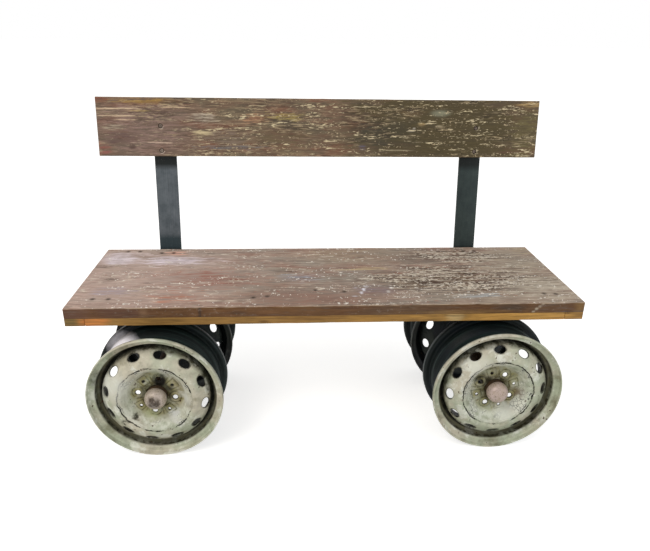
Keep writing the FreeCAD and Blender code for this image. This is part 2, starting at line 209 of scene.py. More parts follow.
def roundCorners(points, radii, step):      # a bent line as short runs; step is in degrees
    line = [np.array(points[0], float)]
    for i in range(1, len(points) - 1):
        here = np.array(points[i], float)
        back, on = np.array(points[i - 1]) - here, np.array(points[i + 1]) - here
        back, on = back / np.linalg.norm(back), on / np.linalg.norm(on)
        turn = math.pi - math.acos(np.clip(back @ on, -1, 1))
        if radii[i] == 0 or turn < 0.01:
            line.append(here)
            continue
        cut = radii[i] * math.tan(turn / 2)
        middle = here + (back + on) / np.linalg.norm(back + on) * radii[i] / math.cos(turn / 2)
        start, end = here + back * cut - middle, here + on * cut - middle
        count = max(2, int(math.degrees(turn) / step))
        for k in range(count + 1):
            t = k / count
            ray = (start * math.sin((1 - t) * turn) + end * math.sin(t * turn)) / math.sin(turn)
            line.append(middle + ray)
    line.append(np.array(points[-1], float))
    return np.array(line)


def sheetLoop(line, thickness):
    # closed outline of a bent sheet with rounded edges, and 1 for its points on the right of the line
    run = np.gradient(line, axis=0)
    run /= np.linalg.norm(run, axis=1)[:, None]
    left = np.stack([-run[:, 1], run[:, 0]], 1) * thickness / 2
    turns = (math.pi / 4, math.pi / 2, 3 * math.pi / 4)
    cap = [line[-1] + left[-1] * math.cos(t) + run[-1] * math.sin(t) * thickness / 2 for t in turns]
    tail = [line[0] - left[0] * math.cos(t) - run[0] * math.sin(t) * thickness / 2 for t in turns]
    loop = np.concatenate([line + left, cap, (line - left)[::-1], tail])
    side = [0.0] * len(line) + [0.0] * len(cap) + [1.0] * len(line) + [0.0] * len(tail)
    return loop, side


# Trees

def turnedTree():       # turns an outline about an axis and sets a copy at each place
    tree, given = growTree("turned pieces", (
        ("Places", "Object"), ("Axis", "Vector"), ("Sides", "Int"), ("Core", "Float"), ("Dents", "Float")))
    outline = addNode(tree, "MeshToCurve", {0: given["Geometry"]})
    ring = addNode(tree, "CurvePrimitiveCircle", {"Resolution": given["Sides"], "Radius": given["Core"]})
    shell = addNode(tree, "CurveToMesh", {"Curve": ring, "Profile Curve": outline})
    closed = addNode(tree, "MergeByDistance", {0: shell, "Distance": 0.01 * mm})
    found = addNode(tree, "ObjectInfo", {"Object": given["Places"]}, transform_space="ORIGINAL")
    points = addNode(tree, "MeshToPoints", {0: found.outputs["Geometry"]})
    aim = addNode(tree, "AlignRotationToVector", {"Vector": given["Axis"]}, axis="Z")
    spin = addNode(tree, "RandomValue", {2: 0.0, 3: 6.28, "Seed": 3}, data_type="FLOAT")
    spun = addNode(tree, "RotateRotation", {
        "Rotation": aim,
        "Rotate By": addNode(tree, "AxisAngleToRotation", {"Angle": spin.outputs[1]}),
    }, rotation_space="LOCAL")
    copies = addNode(tree, "InstanceOnPoints", {"Points": points, "Instance": closed, "Rotation": spun})
    # each copy keeps its own middle, so that its finish can follow its shape
    here = addNode(tree, "InputPosition")
    marked = addNode(tree, "StoreNamedAttribute", {0: copies, "Name": "centre", "Value": here},
                     data_type="FLOAT_VECTOR", domain="INSTANCE")
    real = addNode(tree, "RealizeInstances", {0: marked})
    centre = addNode(tree, "InputNamedAttribute", {"Name": "centre"}, data_type="FLOAT_VECTOR")
    offset = addNode(tree, "VectorMath", {0: here, 1: centre}, operation="SUBTRACT")
    placed = addNode(tree, "StoreNamedAttribute", {0: real, "Name": "place", "Value": offset},
                     data_type="FLOAT_VECTOR", domain="POINT")
    noise = addNode(tree, "TexNoise", {"Vector": here, "Scale": 14.0, "Detail": 2.0})
    level = addNode(tree, "VectorMath", {0: noise.outputs[1], 1: (0.5, 0.5, 0.5)}, operation="SUBTRACT")
    push = addNode(tree, "VectorMath", {0: level, "Scale": given["Dents"]}, operation="SCALE")
    endTree(tree, addNode(tree, "SetPosition", {0: placed, "Offset": push}), given)
    return tree


def barTree():      # sweeps a flat bar with eased edges along a path, bent at its corners
    tree, given = growTree("flat bar", (
        ("Width", "Float"), ("Thickness", "Float"), ("Edge", "Float"), ("Bend", "Float")))
    path = addNode(tree, "MeshToCurve", {0: given["Geometry"]})
    bent = addNode(tree, "FilletCurve", {
        0: path, "Radius": given["Bend"], "Count": 12, "Limit Radius": True}, mode="POLY")
    section = addNode(tree, "CurvePrimitiveQuadrilateral", {
        "Width": given["Width"], "Height": given["Thickness"]})
    eased = addNode(tree, "FilletCurve", {0: section, "Radius": given["Edge"], "Count": 4}, mode="POLY")
    bar = addNode(tree, "CurveToMesh", {"Curve": bent, "Profile Curve": eased, "Fill Caps": True})
    endTree(tree, bar, given)
    return tree


def beadTree():     # a weld bead: a round run whose girth swells with each ripple
    tree, given = growTree("weld bead", (("Leg", "Float"), ("Ripple", "Float")))
    path = addNode(tree, "MeshToCurve", {0: given["Geometry"]})
    step = addNode(tree, "Math", {0: given["Ripple"], 1: 0.2}, operation="MULTIPLY")
    fine = addNode(tree, "ResampleCurve", {0: path, "Length": step}, mode="LENGTH")
    along = addNode(tree, "SplineParameter").outputs["Length"]
    phase = addNode(tree, "Math", {0: along, 1: given["Ripple"]}, operation="DIVIDE")
    wave = addNode(tree, "Math", {0: phase}, operation="FRACT")
    girth = addNode(tree, "MapRange", {"Value": wave, "To Min": 1.0, "To Max": 0.82})
    swollen = addNode(tree, "SetCurveRadius", {0: fine, "Radius": girth})
    section = addNode(tree, "CurvePrimitiveCircle", {"Resolution": 8, "Radius": given["Leg"]})
    bead = addNode(tree, "CurveToMesh", {
        "Curve": swollen, "Profile Curve": section, "Scale": girth, "Fill Caps": True})
    endTree(tree, bead, given)
    return tree


# Materials

def newMaterial(name):
    material = bpy.data.materials.new(name)
    material.use_nodes = True
    return material, material.node_tree, material.node_tree.nodes["Principled BSDF"]


def linkSurface(tree, surface, sockets):        # the last node of each channel goes into the shader
    for key, node in sockets.items():
        tree.links.new(next(socket for socket in node.outputs if socket.enabled), surface.inputs[key])


def stretched(tree, place, length, width, detail, shift=(0.0, 0.0, 0.0)):
    # noise drawn out along the grain: length along it and width across it, both in mm
    scale = (1 / (length * mm), 1 / (width * mm), 1 / (width * mm))
    lay = addNode(tree, "Mapping", {"Vector": place, "Scale": scale, "Location": shift})
    return addNode(tree, "TexNoise", {"Vector": lay, "Scale": 1.0, "Detail": detail, "Roughness": 0.6})


plainCoat = {"soft": 0.03, "strength": 0.5, "rise": 0.3, "curl": 0.2, "bare": False, "ribbed": 0.0}


def agedWood(name, look):
    # old pine, once painted, sun-bleached and rubbed: streaks of several tones along the grain, pale
    # ridges over dark sunk earlywood where it weathered most, checks, and flecks of old coats.
    # Real pores are under 1 mm wide; the grain is drawn 3 to 14 mm wide so that it shows in the render.
    material, tree, surface = newMaterial(name)
    place, tint, ground = [
        addNode(tree, "Attribute", attribute_name=label) for label in ("place", "tint", "ground")]
    zone, sunk, arris, painted, ribbed, calm = [
        addNode(tree, "Attribute", attribute_name=label).outputs["Fac"]
        for label in ("zone", "sunk", "arris", "painted", "ribbed", "calm")]
    fibre = stretched(tree, place, *look["fibre"], 4.0)
    streak = stretched(tree, place, *look["streak"], 4.0, (3.1, 7.7, 1.3))
    cloud = stretched(tree, place, *look["cloud"], 4.0, (9.0, 2.0, 5.0))
    sources = {"fibre": fibre, "streak": streak, "cloud": cloud}
    colour = look["base"]
    for by, start, full, strength, code in look["tones"]:
        mask = addNode(tree, "MapRange", {
            "Value": sources[by], "From Min": start, "From Max": full, "To Max": strength})
        colour = addNode(tree, "Mix", {0: mask, 6: colour, 7: code}, data_type="RGBA")
    colour = addNode(tree, "Mix", {0: calm, 6: colour, 7: ground}, data_type="RGBA")
    # the edges of the coloured patches break up along the grain
    broken = addNode(tree, "Math", {0: fibre, 1: streak}, operation="ADD")
    broken = addNode(tree, "Math", {
        0: broken, 1: look["broken"], 2: -look["broken"]}, operation="MULTIPLY_ADD")
    broken = addNode(tree, "Math", {0: broken, 1: zone}, operation="ADD")
    mask = addNode(tree, "MapRange", {
        "Value": broken, "From Min": 0.2, "From Max": 0.8, "To Max": 0.94})
    colour = addNode(tree, "Mix", {0: mask, 6: colour, 7: tint}, data_type="RGBA")
    for source, key in ((fibre, "fibreDepth"), (streak, "streakDepth")):
        shade = addNode(tree, "MapRange", {
            "Value": source, "From Min": 0.36, "From Max": 0.64,
            "To Min": 1 - look[key], "To Max": 1 + look[key]})
        colour = addNode(tree, "VectorMath", {0: colour, "Scale": shade}, operation="SCALE")
    height = addNode(tree, "Math", {0: fibre, 1: 0.5}, operation="MULTIPLY")
    ribs = stretched(tree, place, *look["ribs"], 3.0, (4.0, 6.0, 2.0))
    pale = look["ribPaleFrom"]
    ribSteps = ((0.48, 0.44, look["ribDark"], -0.8), (pale, pale + 0.04, look["ribPale"], 0.8))
    for low, high, code, rise in ribSteps:
        mask = addNode(tree, "MapRange", {"Value": ribs, "From Min": low, "From Max": high})
        mask = addNode(tree, "Math", {0: mask, 1: ribbed}, operation="MULTIPLY")
        colour = addNode(tree, "Mix", {0: mask, 6: colour, 7: code}, data_type="RGBA")
        height = addNode(tree, "Math", {0: mask, 1: rise, 2: height}, operation="MULTIPLY_ADD")
    for change in look["coats"]:        # flecks of an old coat, in patches
        coat = dict(plainCoat, **change)
        fleck = stretched(tree, place, *coat["size"], 2.0, coat["shift"])
        fleck.inputs["Distortion"].default_value = coat["curl"]
        patch = stretched(tree, place, *coat["patch"], 3.0, coat["shift"])
        gate = addNode(tree, "MapRange", {
            "Value": patch, "From Min": 0.42, "From Max": 0.6,
            "To Min": coat["edge"][0], "To Max": coat["edge"][1]})
        over = addNode(tree, "Math", {0: fleck, 1: gate}, operation="SUBTRACT")
        over = addNode(tree, "Math", {0: ribbed, 1: coat["ribbed"], 2: over}, operation="MULTIPLY_ADD")
        mask = addNode(tree, "MapRange", {
            "Value": over, "From Min": 0.0, "From Max": coat["soft"], "To Max": coat["strength"]})
        mask = addNode(tree, "Math", {0: mask, 1: painted}, operation="MULTIPLY")
        if coat["bare"]:        # this coat is gone where a patch has taken over
            clear = addNode(tree, "MapRange", {
                "Value": zone, "From Min": 0.2, "From Max": 0.6, "To Min": 1.0, "To Max": 0.0})
            mask = addNode(tree, "Math", {0: mask, 1: clear}, operation="MULTIPLY")
        colour = addNode(tree, "Mix", {0: mask, 6: colour, 7: coat["colour"]}, data_type="RGBA")
        height = addNode(tree, "Math", {0: mask, 1: coat["rise"], 2: height}, operation="MULTIPLY_ADD")
    # thin dark checks, where the slow noise crosses its middle value
    check = stretched(tree, place, *look["check"], 3.0, (5.0, 1.0, 2.0))
    near = addNode(tree, "Math", {0: check, 1: 0.5}, operation="SUBTRACT")
    near = addNode(tree, "Math", {0: near}, operation="ABSOLUTE")
    line = addNode(tree, "MapRange", {
        "Value": near, "From Min": 0.0, "From Max": look["checkWidth"],
        "To Min": look["checkDepth"], "To Max": 0.0})
    patch = addNode(tree, "MapRange", {
        "Value": cloud, "From Min": 0.35, "From Max": 0.6, "To Min": 1.0, "To Max": 0.1})
    line = addNode(tree, "Math", {0: line, 1: patch}, operation="MULTIPLY")
    dark = addNode(tree, "Math", {0: line, 1: sunk}, operation="MAXIMUM", use_clamp=True)
    colour = addNode(tree, "Mix", {0: dark, 6: colour, 7: look["checkColour"]}, data_type="RGBA")
    height = addNode(tree, "Math", {0: line, 1: -0.9, 2: height}, operation="MULTIPLY_ADD")
    # paint and dirt rubbed off along the edges
    worn = stretched(tree, place, 30, 4, 3.0, (1.0, 4.0, 8.0))
    worn = addNode(tree, "MapRange", {"Value": worn, "From Min": 0.38, "From Max": 0.62})
    worn = addNode(tree, "Math", {0: worn, 1: arris}, operation="MULTIPLY")
    colour = addNode(tree, "Mix", {0: worn, 6: colour, 7: look["arrisColour"]}, data_type="RGBA")
    rough = addNode(tree, "MapRange", {
        "Value": streak, "From Min": 0.3, "From Max": 0.7,
        "To Min": look["rough"][0], "To Max": look["rough"][1]})
    bump = addNode(tree, "Bump", {"Height": height, "Distance": look["bump"] * mm, "Strength": 0.9})
    surface.inputs["Specular IOR Level"].default_value = 0.22
    linkSurface(tree, surface, {"Base Color": colour, "Roughness": rough, "Normal": bump})
    return material


def wheelEnamel(name, look):
    # chalky old wheel enamel over pressed steel: pale on the shown side, dark and rubbed in rings
    # outside, with road dirt and painted shade in the hollows, cracked and flaked round the bowl, rust where
    # it chipped
    material, tree, surface = newMaterial(name)
    place = addNode(tree, "Attribute", attribute_name="place").outputs["Vector"]
    outside, lip, dirt = [addNode(tree, "Attribute", attribute_name=label).outputs["Fac"]
                          for label in ("outside", "lip", "dirt")]
    world = addNode(tree, "TexCoord").outputs["Object"]
    depth = addNode(tree, "SeparateXYZ", {0: place}).outputs["Y"]
    flatPlace = addNode(tree, "VectorMath", {0: place, 1: (1.0, 0.0, 1.0)}, operation="MULTIPLY")
    radius = addNode(tree, "VectorMath", {0: flatPlace}, operation="LENGTH").outputs["Value"]
    blotch, tone, grit, fleck, speck = [
        addNode(tree, "TexNoise", {"Vector": world, "Scale": size, "Detail": detail, "Roughness": rough})
        for size, detail, rough in ((19.0, 6.0, 0.66), (8.0, 4.0, 0.6), (240.0, 3.0, 0.7), (52.0, 4.0, 0.62),
                                    (95.0, 2.0, 0.5))]
    colour = addNode(tree, "Mix", {
        0: addNode(tree, "MapRange", {"Value": tone, "From Min": 0.42, "From Max": 0.58}),
        6: look["green"], 7: look["pink"],
    }, data_type="RGBA")
    flaked = addNode(tree, "MapRange", {
        "Value": blotch, "From Min": 0.53, "From Max": 0.6, "To Max": 0.75})
    colour = addNode(tree, "Mix", {0: flaked, 6: colour, 7: look["pale"]}, data_type="RGBA")
    grime = addNode(tree, "MapRange", {
        "Value": blotch, "From Min": 0.46, "From Max": 0.3, "To Max": 0.7})
    colour = addNode(tree, "Mix", {0: grime, 6: colour, 7: look["grime"]}, data_type="RGBA")
    wander = addNode(tree, "Math", {0: blotch, 1: 0.02}, operation="MULTIPLY")
    wander = addNode(tree, "Math", {0: wander, 1: 0.01}, operation="SUBTRACT")
    radial = addNode(tree, "Math", {0: radius, 1: wander}, operation="ADD")
    # rings by radius or depth: dirt and paler paint, and in the rims' wells and round the discs' edges dirt
    # with painted shade
    for by, start, end, cover, code in look["zones"]:       # rings of dirt with soft, patchy edges
        where = radial if by == "radius" else depth
        rise = addNode(tree, "MapRange", {
            "Value": where, "From Min": start[0] * mm, "From Max": start[1] * mm})
        fall = addNode(tree, "MapRange", {
            "Value": where, "From Min": end[0] * mm, "From Max": end[1] * mm, "To Min": 1.0, "To Max": 0.0})
        patchy = addNode(tree, "MapRange", {
            "Value": fleck, "From Min": 0.38, "From Max": 0.58, "To Min": cover[0], "To Max": cover[1]})
        band = addNode(tree, "Math", {0: rise, 1: fall}, operation="MULTIPLY")
        band = addNode(tree, "Math", {0: band, 1: patchy}, operation="MULTIPLY")
        colour = addNode(tree, "Mix", {0: band, 6: colour, 7: code}, data_type="RGBA")
    height = addNode(tree, "Math", {0: flaked, 1: 0.6, 2: grit}, operation="MULTIPLY_ADD")
    for crack in look["lines"]:     # thin dark rings that wander and come and go
        gap = addNode(tree, "Math", {0: radius, 1: crack["radius"] * mm}, operation="SUBTRACT")
        gap = addNode(tree, "Math", {0: fleck, 1: crack["wander"] * mm, 2: gap}, operation="MULTIPLY_ADD")
        gap = addNode(tree, "Math", {0: gap, 1: crack["wander"] * mm / 2}, operation="SUBTRACT")
        gap = addNode(tree, "Math", {0: gap}, operation="ABSOLUTE")
        line = addNode(tree, "MapRange", {
            "Value": gap, "From Min": crack["width"] * 0.45 * mm, "From Max": crack["width"] * mm,
            "To Min": 1.0, "To Max": 0.0})
        broken = addNode(tree, "MapRange", {
            "Value": blotch, "From Min": crack["gaps"], "From Max": crack["gaps"] + 0.05, "To Min": 0.15})
        line = addNode(tree, "Math", {0: line, 1: broken}, operation="MULTIPLY")
        colour = addNode(tree, "Mix", {0: line, 6: colour, 7: look["line"]}, data_type="RGBA")
        height = addNode(tree, "Math", {0: line, 1: -1.0, 2: height}, operation="MULTIPLY_ADD")
    # a net of fine cracks on the bowl, where the paint has flaked
    crazed = addNode(tree, "TexVoronoi", {"Vector": world, "Scale": look["crazing"]},
                     feature="DISTANCE_TO_EDGE")
    line = addNode(tree, "MapRange", {
        "Value": crazed, "From Min": 0.02, "From Max": 0.07, "To Min": 0.85, "To Max": 0.0})
    for value, none, full in ((radius, 62 * mm, 76 * mm), (radius, 108 * mm, 98 * mm), (blotch, 0.5, 0.6)):
        limit = addNode(tree, "MapRange", {"Value": value, "From Min": none, "From Max": full})
        line = addNode(tree, "Math", {0: line, 1: limit}, operation="MULTIPLY")
    colour = addNode(tree, "Mix", {0: line, 6: colour, 7: look["line"]}, data_type="RGBA")
    spot = addNode(tree, "MapRange", {
        "Value": speck, "From Min": look["chips"], "From Max": look["chips"] + 0.03})
    colour = addNode(tree, "Mix", {0: spot, 6: colour, 7: look["rust"]}, data_type="RGBA")
    fine = addNode(tree, "MapRange", {
        "Value": fleck, "From Min": 0.3, "From Max": 0.7, "To Min": 0.86, "To Max": 1.12})
    colour = addNode(tree, "VectorMath", {0: colour, "Scale": fine}, operation="SCALE")
    patchy = addNode(tree, "MapRange", {
        "Value": fleck, "From Min": 0.4, "From Max": 0.55, "To Min": 0.35})
    for mark in (lip, dirt):
        edge = addNode(tree, "Math", {0: mark, 1: patchy}, operation="MULTIPLY")
        colour = addNode(tree, "Mix", {0: edge, 6: colour, 7: look["line"]}, data_type="RGBA")
    # the dark back, scraped in rings and rubbed bare near its front edge
    rings = addNode(tree, "Mapping", {"Vector": place, "Scale": (3.0, 170.0, 3.0)})
    rings = addNode(tree, "TexNoise", {"Vector": rings, "Scale": 1.0, "Detail": 4.0, "Roughness": 0.75})
    scrape = addNode(tree, "MapRange", {
        "Value": rings, "From Min": 0.47, "From Max": 0.68, "To Max": 0.9})
    dark = addNode(tree, "Mix", {
        0: addNode(tree, "MapRange", {"Value": tone, "From Min": 0.44, "From Max": 0.56}),
        6: look["outside"], 7: look["outsideSecond"],
    }, data_type="RGBA")
    dark = addNode(tree, "Mix", {0: scrape, 6: dark, 7: look["scrape"]}, data_type="RGBA")
    rubbed = addNode(tree, "MapRange", {
        "Value": depth, "From Min": 20 * mm, "From Max": 6 * mm, "To Max": 0.8})
    rubbed = addNode(tree, "Math", {0: rubbed, 1: patchy}, operation="MULTIPLY")
    dark = addNode(tree, "Mix", {0: rubbed, 6: dark, 7: look["rubbed"]}, data_type="RGBA")
    back = addNode(tree, "MapRange", {"Value": depth, "From Min": -1 * mm, "From Max": 6 * mm})
    back = addNode(tree, "Math", {0: back, 1: outside}, operation="MULTIPLY")
    deep = addNode(tree, "MapRange", {
        "Value": depth, "From Min": look["deep"][0] * mm, "From Max": look["deep"][1] * mm})
    back = addNode(tree, "Math", {0: back, 1: deep}, operation="MAXIMUM")
    colour = addNode(tree, "Mix", {0: back, 6: colour, 7: dark}, data_type="RGBA")
    # patches of colour, among them painted highlights on the discs; painted reflections go only on the dark
    # back
    patches = [(patch, True) for patch in look["sheens"]] + [(patch, False) for patch in look["patches"]]
    for (middle, reach, ragged, strength, code), onBack in patches:
        far = addNode(tree, "VectorMath", {0: place, 1: tuple(c * mm for c in middle)}, operation="DISTANCE")
        far = addNode(tree, "Math", {0: fleck, 1: ragged * mm, 2: far.outputs["Value"]},
                      operation="MULTIPLY_ADD")
        far = addNode(tree, "Math", {0: far, 1: ragged * mm / 2}, operation="SUBTRACT")
        mask = addNode(tree, "MapRange", {
            "Value": far, "From Min": reach[1] * mm, "From Max": reach[0] * mm, "To Max": strength})
        if onBack:
            mask = addNode(tree, "Math", {0: mask, 1: back}, operation="MULTIPLY")
        colour = addNode(tree, "Mix", {0: mask, 6: colour, 7: code}, data_type="RGBA")
    rough = addNode(tree, "MapRange", {"Value": back, "To Min": 0.6, "To Max": 0.46})
    height = addNode(tree, "Math", {0: spot, 1: -0.6, 2: height}, operation="MULTIPLY_ADD")
    bump = addNode(tree, "Bump", {"Height": height, "Distance": 0.3 * mm, "Strength": 0.8})
    surface.inputs["Specular IOR Level"].default_value = 0.14
    linkSurface(tree, surface, {"Base Color": colour, "Roughness": rough, "Normal": bump})
    return material


def wornSteel(name, look):
    # mild steel with a thin coat: mottled, rubbed in long faint scratches
    material, tree, surface = newMaterial(name)
    world = addNode(tree, "TexCoord").outputs["Object"]
    cloud = addNode(tree, "TexNoise", {
        "Vector": world, "Scale": look["cloud"], "Detail": 5.0, "Roughness": 0.65})
    grit = addNode(tree, "TexNoise", {"Vector": world, "Scale": look["grit"], "Detail": 2.0})
    lay = addNode(tree, "Mapping", {"Vector": world, "Scale": look["brush"]})
    brush = addNode(tree, "TexNoise", {"Vector": lay, "Scale": 1.0, "Detail": 3.0})
    colour = addNode(tree, "Mix", {
        0: addNode(tree, "MapRange", {"Value": cloud, "From Min": 0.38, "From Max": 0.64}),
        6: look["colour"], 7: look["second"],
    }, data_type="RGBA")
    if look["tip"]:         # grime round the tip of the cap: its colour and reach in mm
        code, reach = look["tip"]
        place = addNode(tree, "Attribute", attribute_name="place").outputs["Vector"]
        flatPlace = addNode(tree, "VectorMath", {0: place, 1: (1.0, 0.0, 1.0)}, operation="MULTIPLY")
        radius = addNode(tree, "VectorMath", {0: flatPlace}, operation="LENGTH").outputs["Value"]
        near = addNode(tree, "MapRange", {
            "Value": radius, "From Min": reach * mm, "From Max": 0.5 * reach * mm})
        near = addNode(tree, "Math", {0: near, 1: cloud}, operation="MULTIPLY")
        near = addNode(tree, "MapRange", {"Value": near, "From Min": 0.2, "From Max": 0.5, "To Max": 0.9})
        colour = addNode(tree, "Mix", {0: near, 6: colour, 7: code}, data_type="RGBA")
    # on the bars these bands are painted shade
    for none, full, code in look["bands"]:      # a tone by height in m, on the side that faces the front
        level = addNode(tree, "SeparateXYZ", {0: world}).outputs["Z"]
        share = addNode(tree, "MapRange", {"Value": level, "From Min": none, "From Max": full})
        normal = addNode(tree, "NewGeometry").outputs["Normal"]
        facing = addNode(tree, "SeparateXYZ", {0: normal}).outputs["Y"]
        facing = addNode(tree, "MapRange", {
            "Value": facing, "From Min": -0.3, "From Max": -0.8, "To Max": 0.95})
        share = addNode(tree, "Math", {0: share, 1: facing}, operation="MULTIPLY")
        colour = addNode(tree, "Mix", {0: share, 6: colour, 7: code}, data_type="RGBA")
    spot = addNode(tree, "MapRange", {
        "Value": grit, "From Min": look["spots"], "From Max": look["spots"] + 0.06, "To Max": 0.8})
    colour = addNode(tree, "Mix", {0: spot, 6: colour, 7: look["spot"]}, data_type="RGBA")
    fine, rough = [
        addNode(tree, "MapRange", {
            "Value": brush, "From Min": 0.3, "From Max": 0.7, "To Min": least, "To Max": most})
        for least, most in ((0.85, 1.15), look["rough"])]
    colour = addNode(tree, "VectorMath", {0: colour, "Scale": fine}, operation="SCALE")
    height = addNode(tree, "Math", {0: brush, 1: 0.5, 2: grit}, operation="MULTIPLY_ADD")
    bump = addNode(tree, "Bump", {"Height": height, "Distance": look["bump"] * mm, "Strength": 0.7})
    surface.inputs["Metallic"].default_value = look["metal"]
    surface.inputs["Specular IOR Level"].default_value = 0.3
    linkSurface(tree, surface, {"Base Color": colour, "Roughness": rough, "Normal": bump})
    return material


# Wood

# Sizes along and across the grain are in mm. Tones: the noise that places one, where it starts and is
# full, strength, colour. Coats: the size of a fleck and of the patches that they come in, and the
# noise level that a fleck has to pass outside such a patch and in it.
seatLook = {
    "fibre": (48, 6), "fibreDepth": 0.19, "streak": (190, 14), "streakDepth": 0.1, "cloud": (170, 60),
    "broken": 2.2, "base": "#9c8576",
    "tones": [
        ("cloud", 0.46, 0.6, 0.75, "#8f867a"), ("cloud", 0.48, 0.39, 0.7, "#967262"),
        ("streak", 0.54, 0.62, 0.5, "#c0b09f"), ("streak", 0.45, 0.36, 0.32, "#6d594d"),
        ("fibre", 0.56, 0.64, 0.45, "#cbbba8"), ("fibre", 0.44, 0.36, 0.3, "#65503f"),
    ],
    "ribs": (75, 8), "ribDark": "#534134", "ribPale": "#b3a28d", "ribPaleFrom": 0.575,
    "coats": [
        {"size": (9, 9), "patch": (150, 44), "edge": (0.76, 0.61), "strength": 1.0, "colour": "#efe8dc",
         "rise": 0.5, "shift": (2.0, 6.0, 0.0)},
        {"size": (30, 8), "patch": (240, 70), "edge": (0.77, 0.6), "soft": 0.04, "strength": 0.8,
         "colour": "#ddd1bf", "curl": 0.6, "shift": (8.0, 3.0, 4.0), "ribbed": 0.04},
        {"size": (12, 7.5), "patch": (190, 12), "edge": (0.87, 0.71), "strength": 0.9, "colour": "#d9cdba",
         "rise": 0.5, "shift": (4.0, 1.0, 7.0), "ribbed": 0.25},
        {"size": (16, 9), "patch": (180, 80), "edge": (0.78, 0.63), "soft": 0.05, "colour": "#a8654e",
         "curl": 0.0, "shift": (5.5, 9.0, 1.0), "bare": True},
        {"size": (12, 8), "patch": (120, 50), "edge": (0.84, 0.7), "soft": 0.05, "strength": 0.6,
         "colour": "#3f342c", "rise": -0.6, "shift": (1.5, 2.0, 9.0), "bare": True, "ribbed": 0.06},
    ],
    "check": (240, 16), "checkWidth": 0.012, "checkDepth": 0.5, "checkColour": "#43352b",
    "arrisColour": "#bba58d", "rough": (0.55, 0.8), "bump": 0.7,
}
boardLook = {
    "fibre": (26, 3.4), "fibreDepth": 0.18, "streak": (90, 6), "streakDepth": 0.1, "cloud": (130, 32),
    "broken": 2.0, "base": "#786250",
    "tones": [
        ("cloud", 0.48, 0.6, 0.7, "#645c4b"), ("cloud", 0.46, 0.37, 0.7, "#835b48"),
        ("streak", 0.55, 0.63, 0.5, "#a89275"), ("streak", 0.44, 0.35, 0.4, "#4e4237"),
        ("fibre", 0.58, 0.66, 0.5, "#b7a383"),
    ],
    "ribs": (36, 5), "ribDark": "#43392f", "ribPale": "#c4af8c", "ribPaleFrom": 0.54,
    "coats": [
        {"size": (24, 4.2), "patch": (130, 15), "edge": (0.77, 0.55), "soft": 0.035, "strength": 0.95,
         "colour": "#dccba6", "rise": 0.5, "curl": 0.9, "shift": (1.0, 4.0, 0.0)},
        {"size": (9, 4.6), "patch": (90, 12), "edge": (0.78, 0.59), "soft": 0.035, "strength": 0.8,
         "colour": "#cbb794", "rise": 0.4, "curl": 0.5, "shift": (6.0, 3.0, 2.0)},
        {"size": (60, 10), "patch": (200, 50), "edge": (0.74, 0.58), "soft": 0.1, "colour": "#83523f",
         "rise": 0.2, "curl": 0.4, "shift": (3.3, 8.0, 7.0), "bare": True},
    ],
    "check": (190, 9), "checkWidth": 0.012, "checkDepth": 0.5, "checkColour": "#2f2822",
    "arrisColour": "#a08566", "rough": (0.55, 0.8), "bump": 0.7,
}
battenLook = {
    "fibre": (50, 3), "fibreDepth": 0.2, "streak": (130, 6), "streakDepth": 0.18, "cloud": (200, 30),
    "broken": 0.8, "base": "#a27c46",
    "tones": [("streak", 0.52, 0.62, 0.6, "#b9904e"), ("streak", 0.47, 0.37, 0.7, "#644522")],
    "ribs": (60, 8), "ribDark": "#5a4226", "ribPale": "#b89560", "ribPaleFrom": 0.54,
    "coats": [
        {"size": (22, 4), "patch": (120, 20), "edge": (0.8, 0.64), "soft": 0.08, "colour": "#c8a468",
         "rise": 0.2, "shift": (2.0, 6.0, 0.0)},
    ],
    "check": (200, 8), "checkWidth": 0.01, "checkDepth": 0.5, "checkColour": "#4a3420",
    "arrisColour": "#9c7a48", "rough": (0.45, 0.65), "bump": 0.4,
}
seatWood = agedWood("worn painted pine, seat", seatLook)        # brown-mauve, dry and ribbed on the right
boardWood = agedWood("worn painted pine, back", boardLook)      # darker, with short cream flecks in rows
battenWood = agedWood("oiled pine, battens", battenLook)        # warm honey brown, smooth, darker lines


def blendZones(zones, u, v, seed, ragged=0.35):
    # patches of colour, each with its middle and reach in mm, colour and strength; the colour at each
    # point, and how far it is in a patch, which the shader breaks up along the grain
    colour, total, amount = np.zeros(u.shape + (3,)), 1e-9 + 0 * u, 0 * u
    for index, (midU, midV, reachU, reachV, code, strength) in enumerate(zones):
        far = np.hypot((u - midU) / reachU, (v - midV) / reachV)
        far = far + ragged * layeredNoise(u / 60, v / 14, seed + 11 * index)
        weight = strength * smoothStep(1.35, 0.25, far)
        colour = colour + (weight ** 3)[..., None] * np.array(toLinear(code)[:3])
        total = total + weight ** 3
        amount = np.maximum(amount, weight)
    return colour / total[..., None], amount


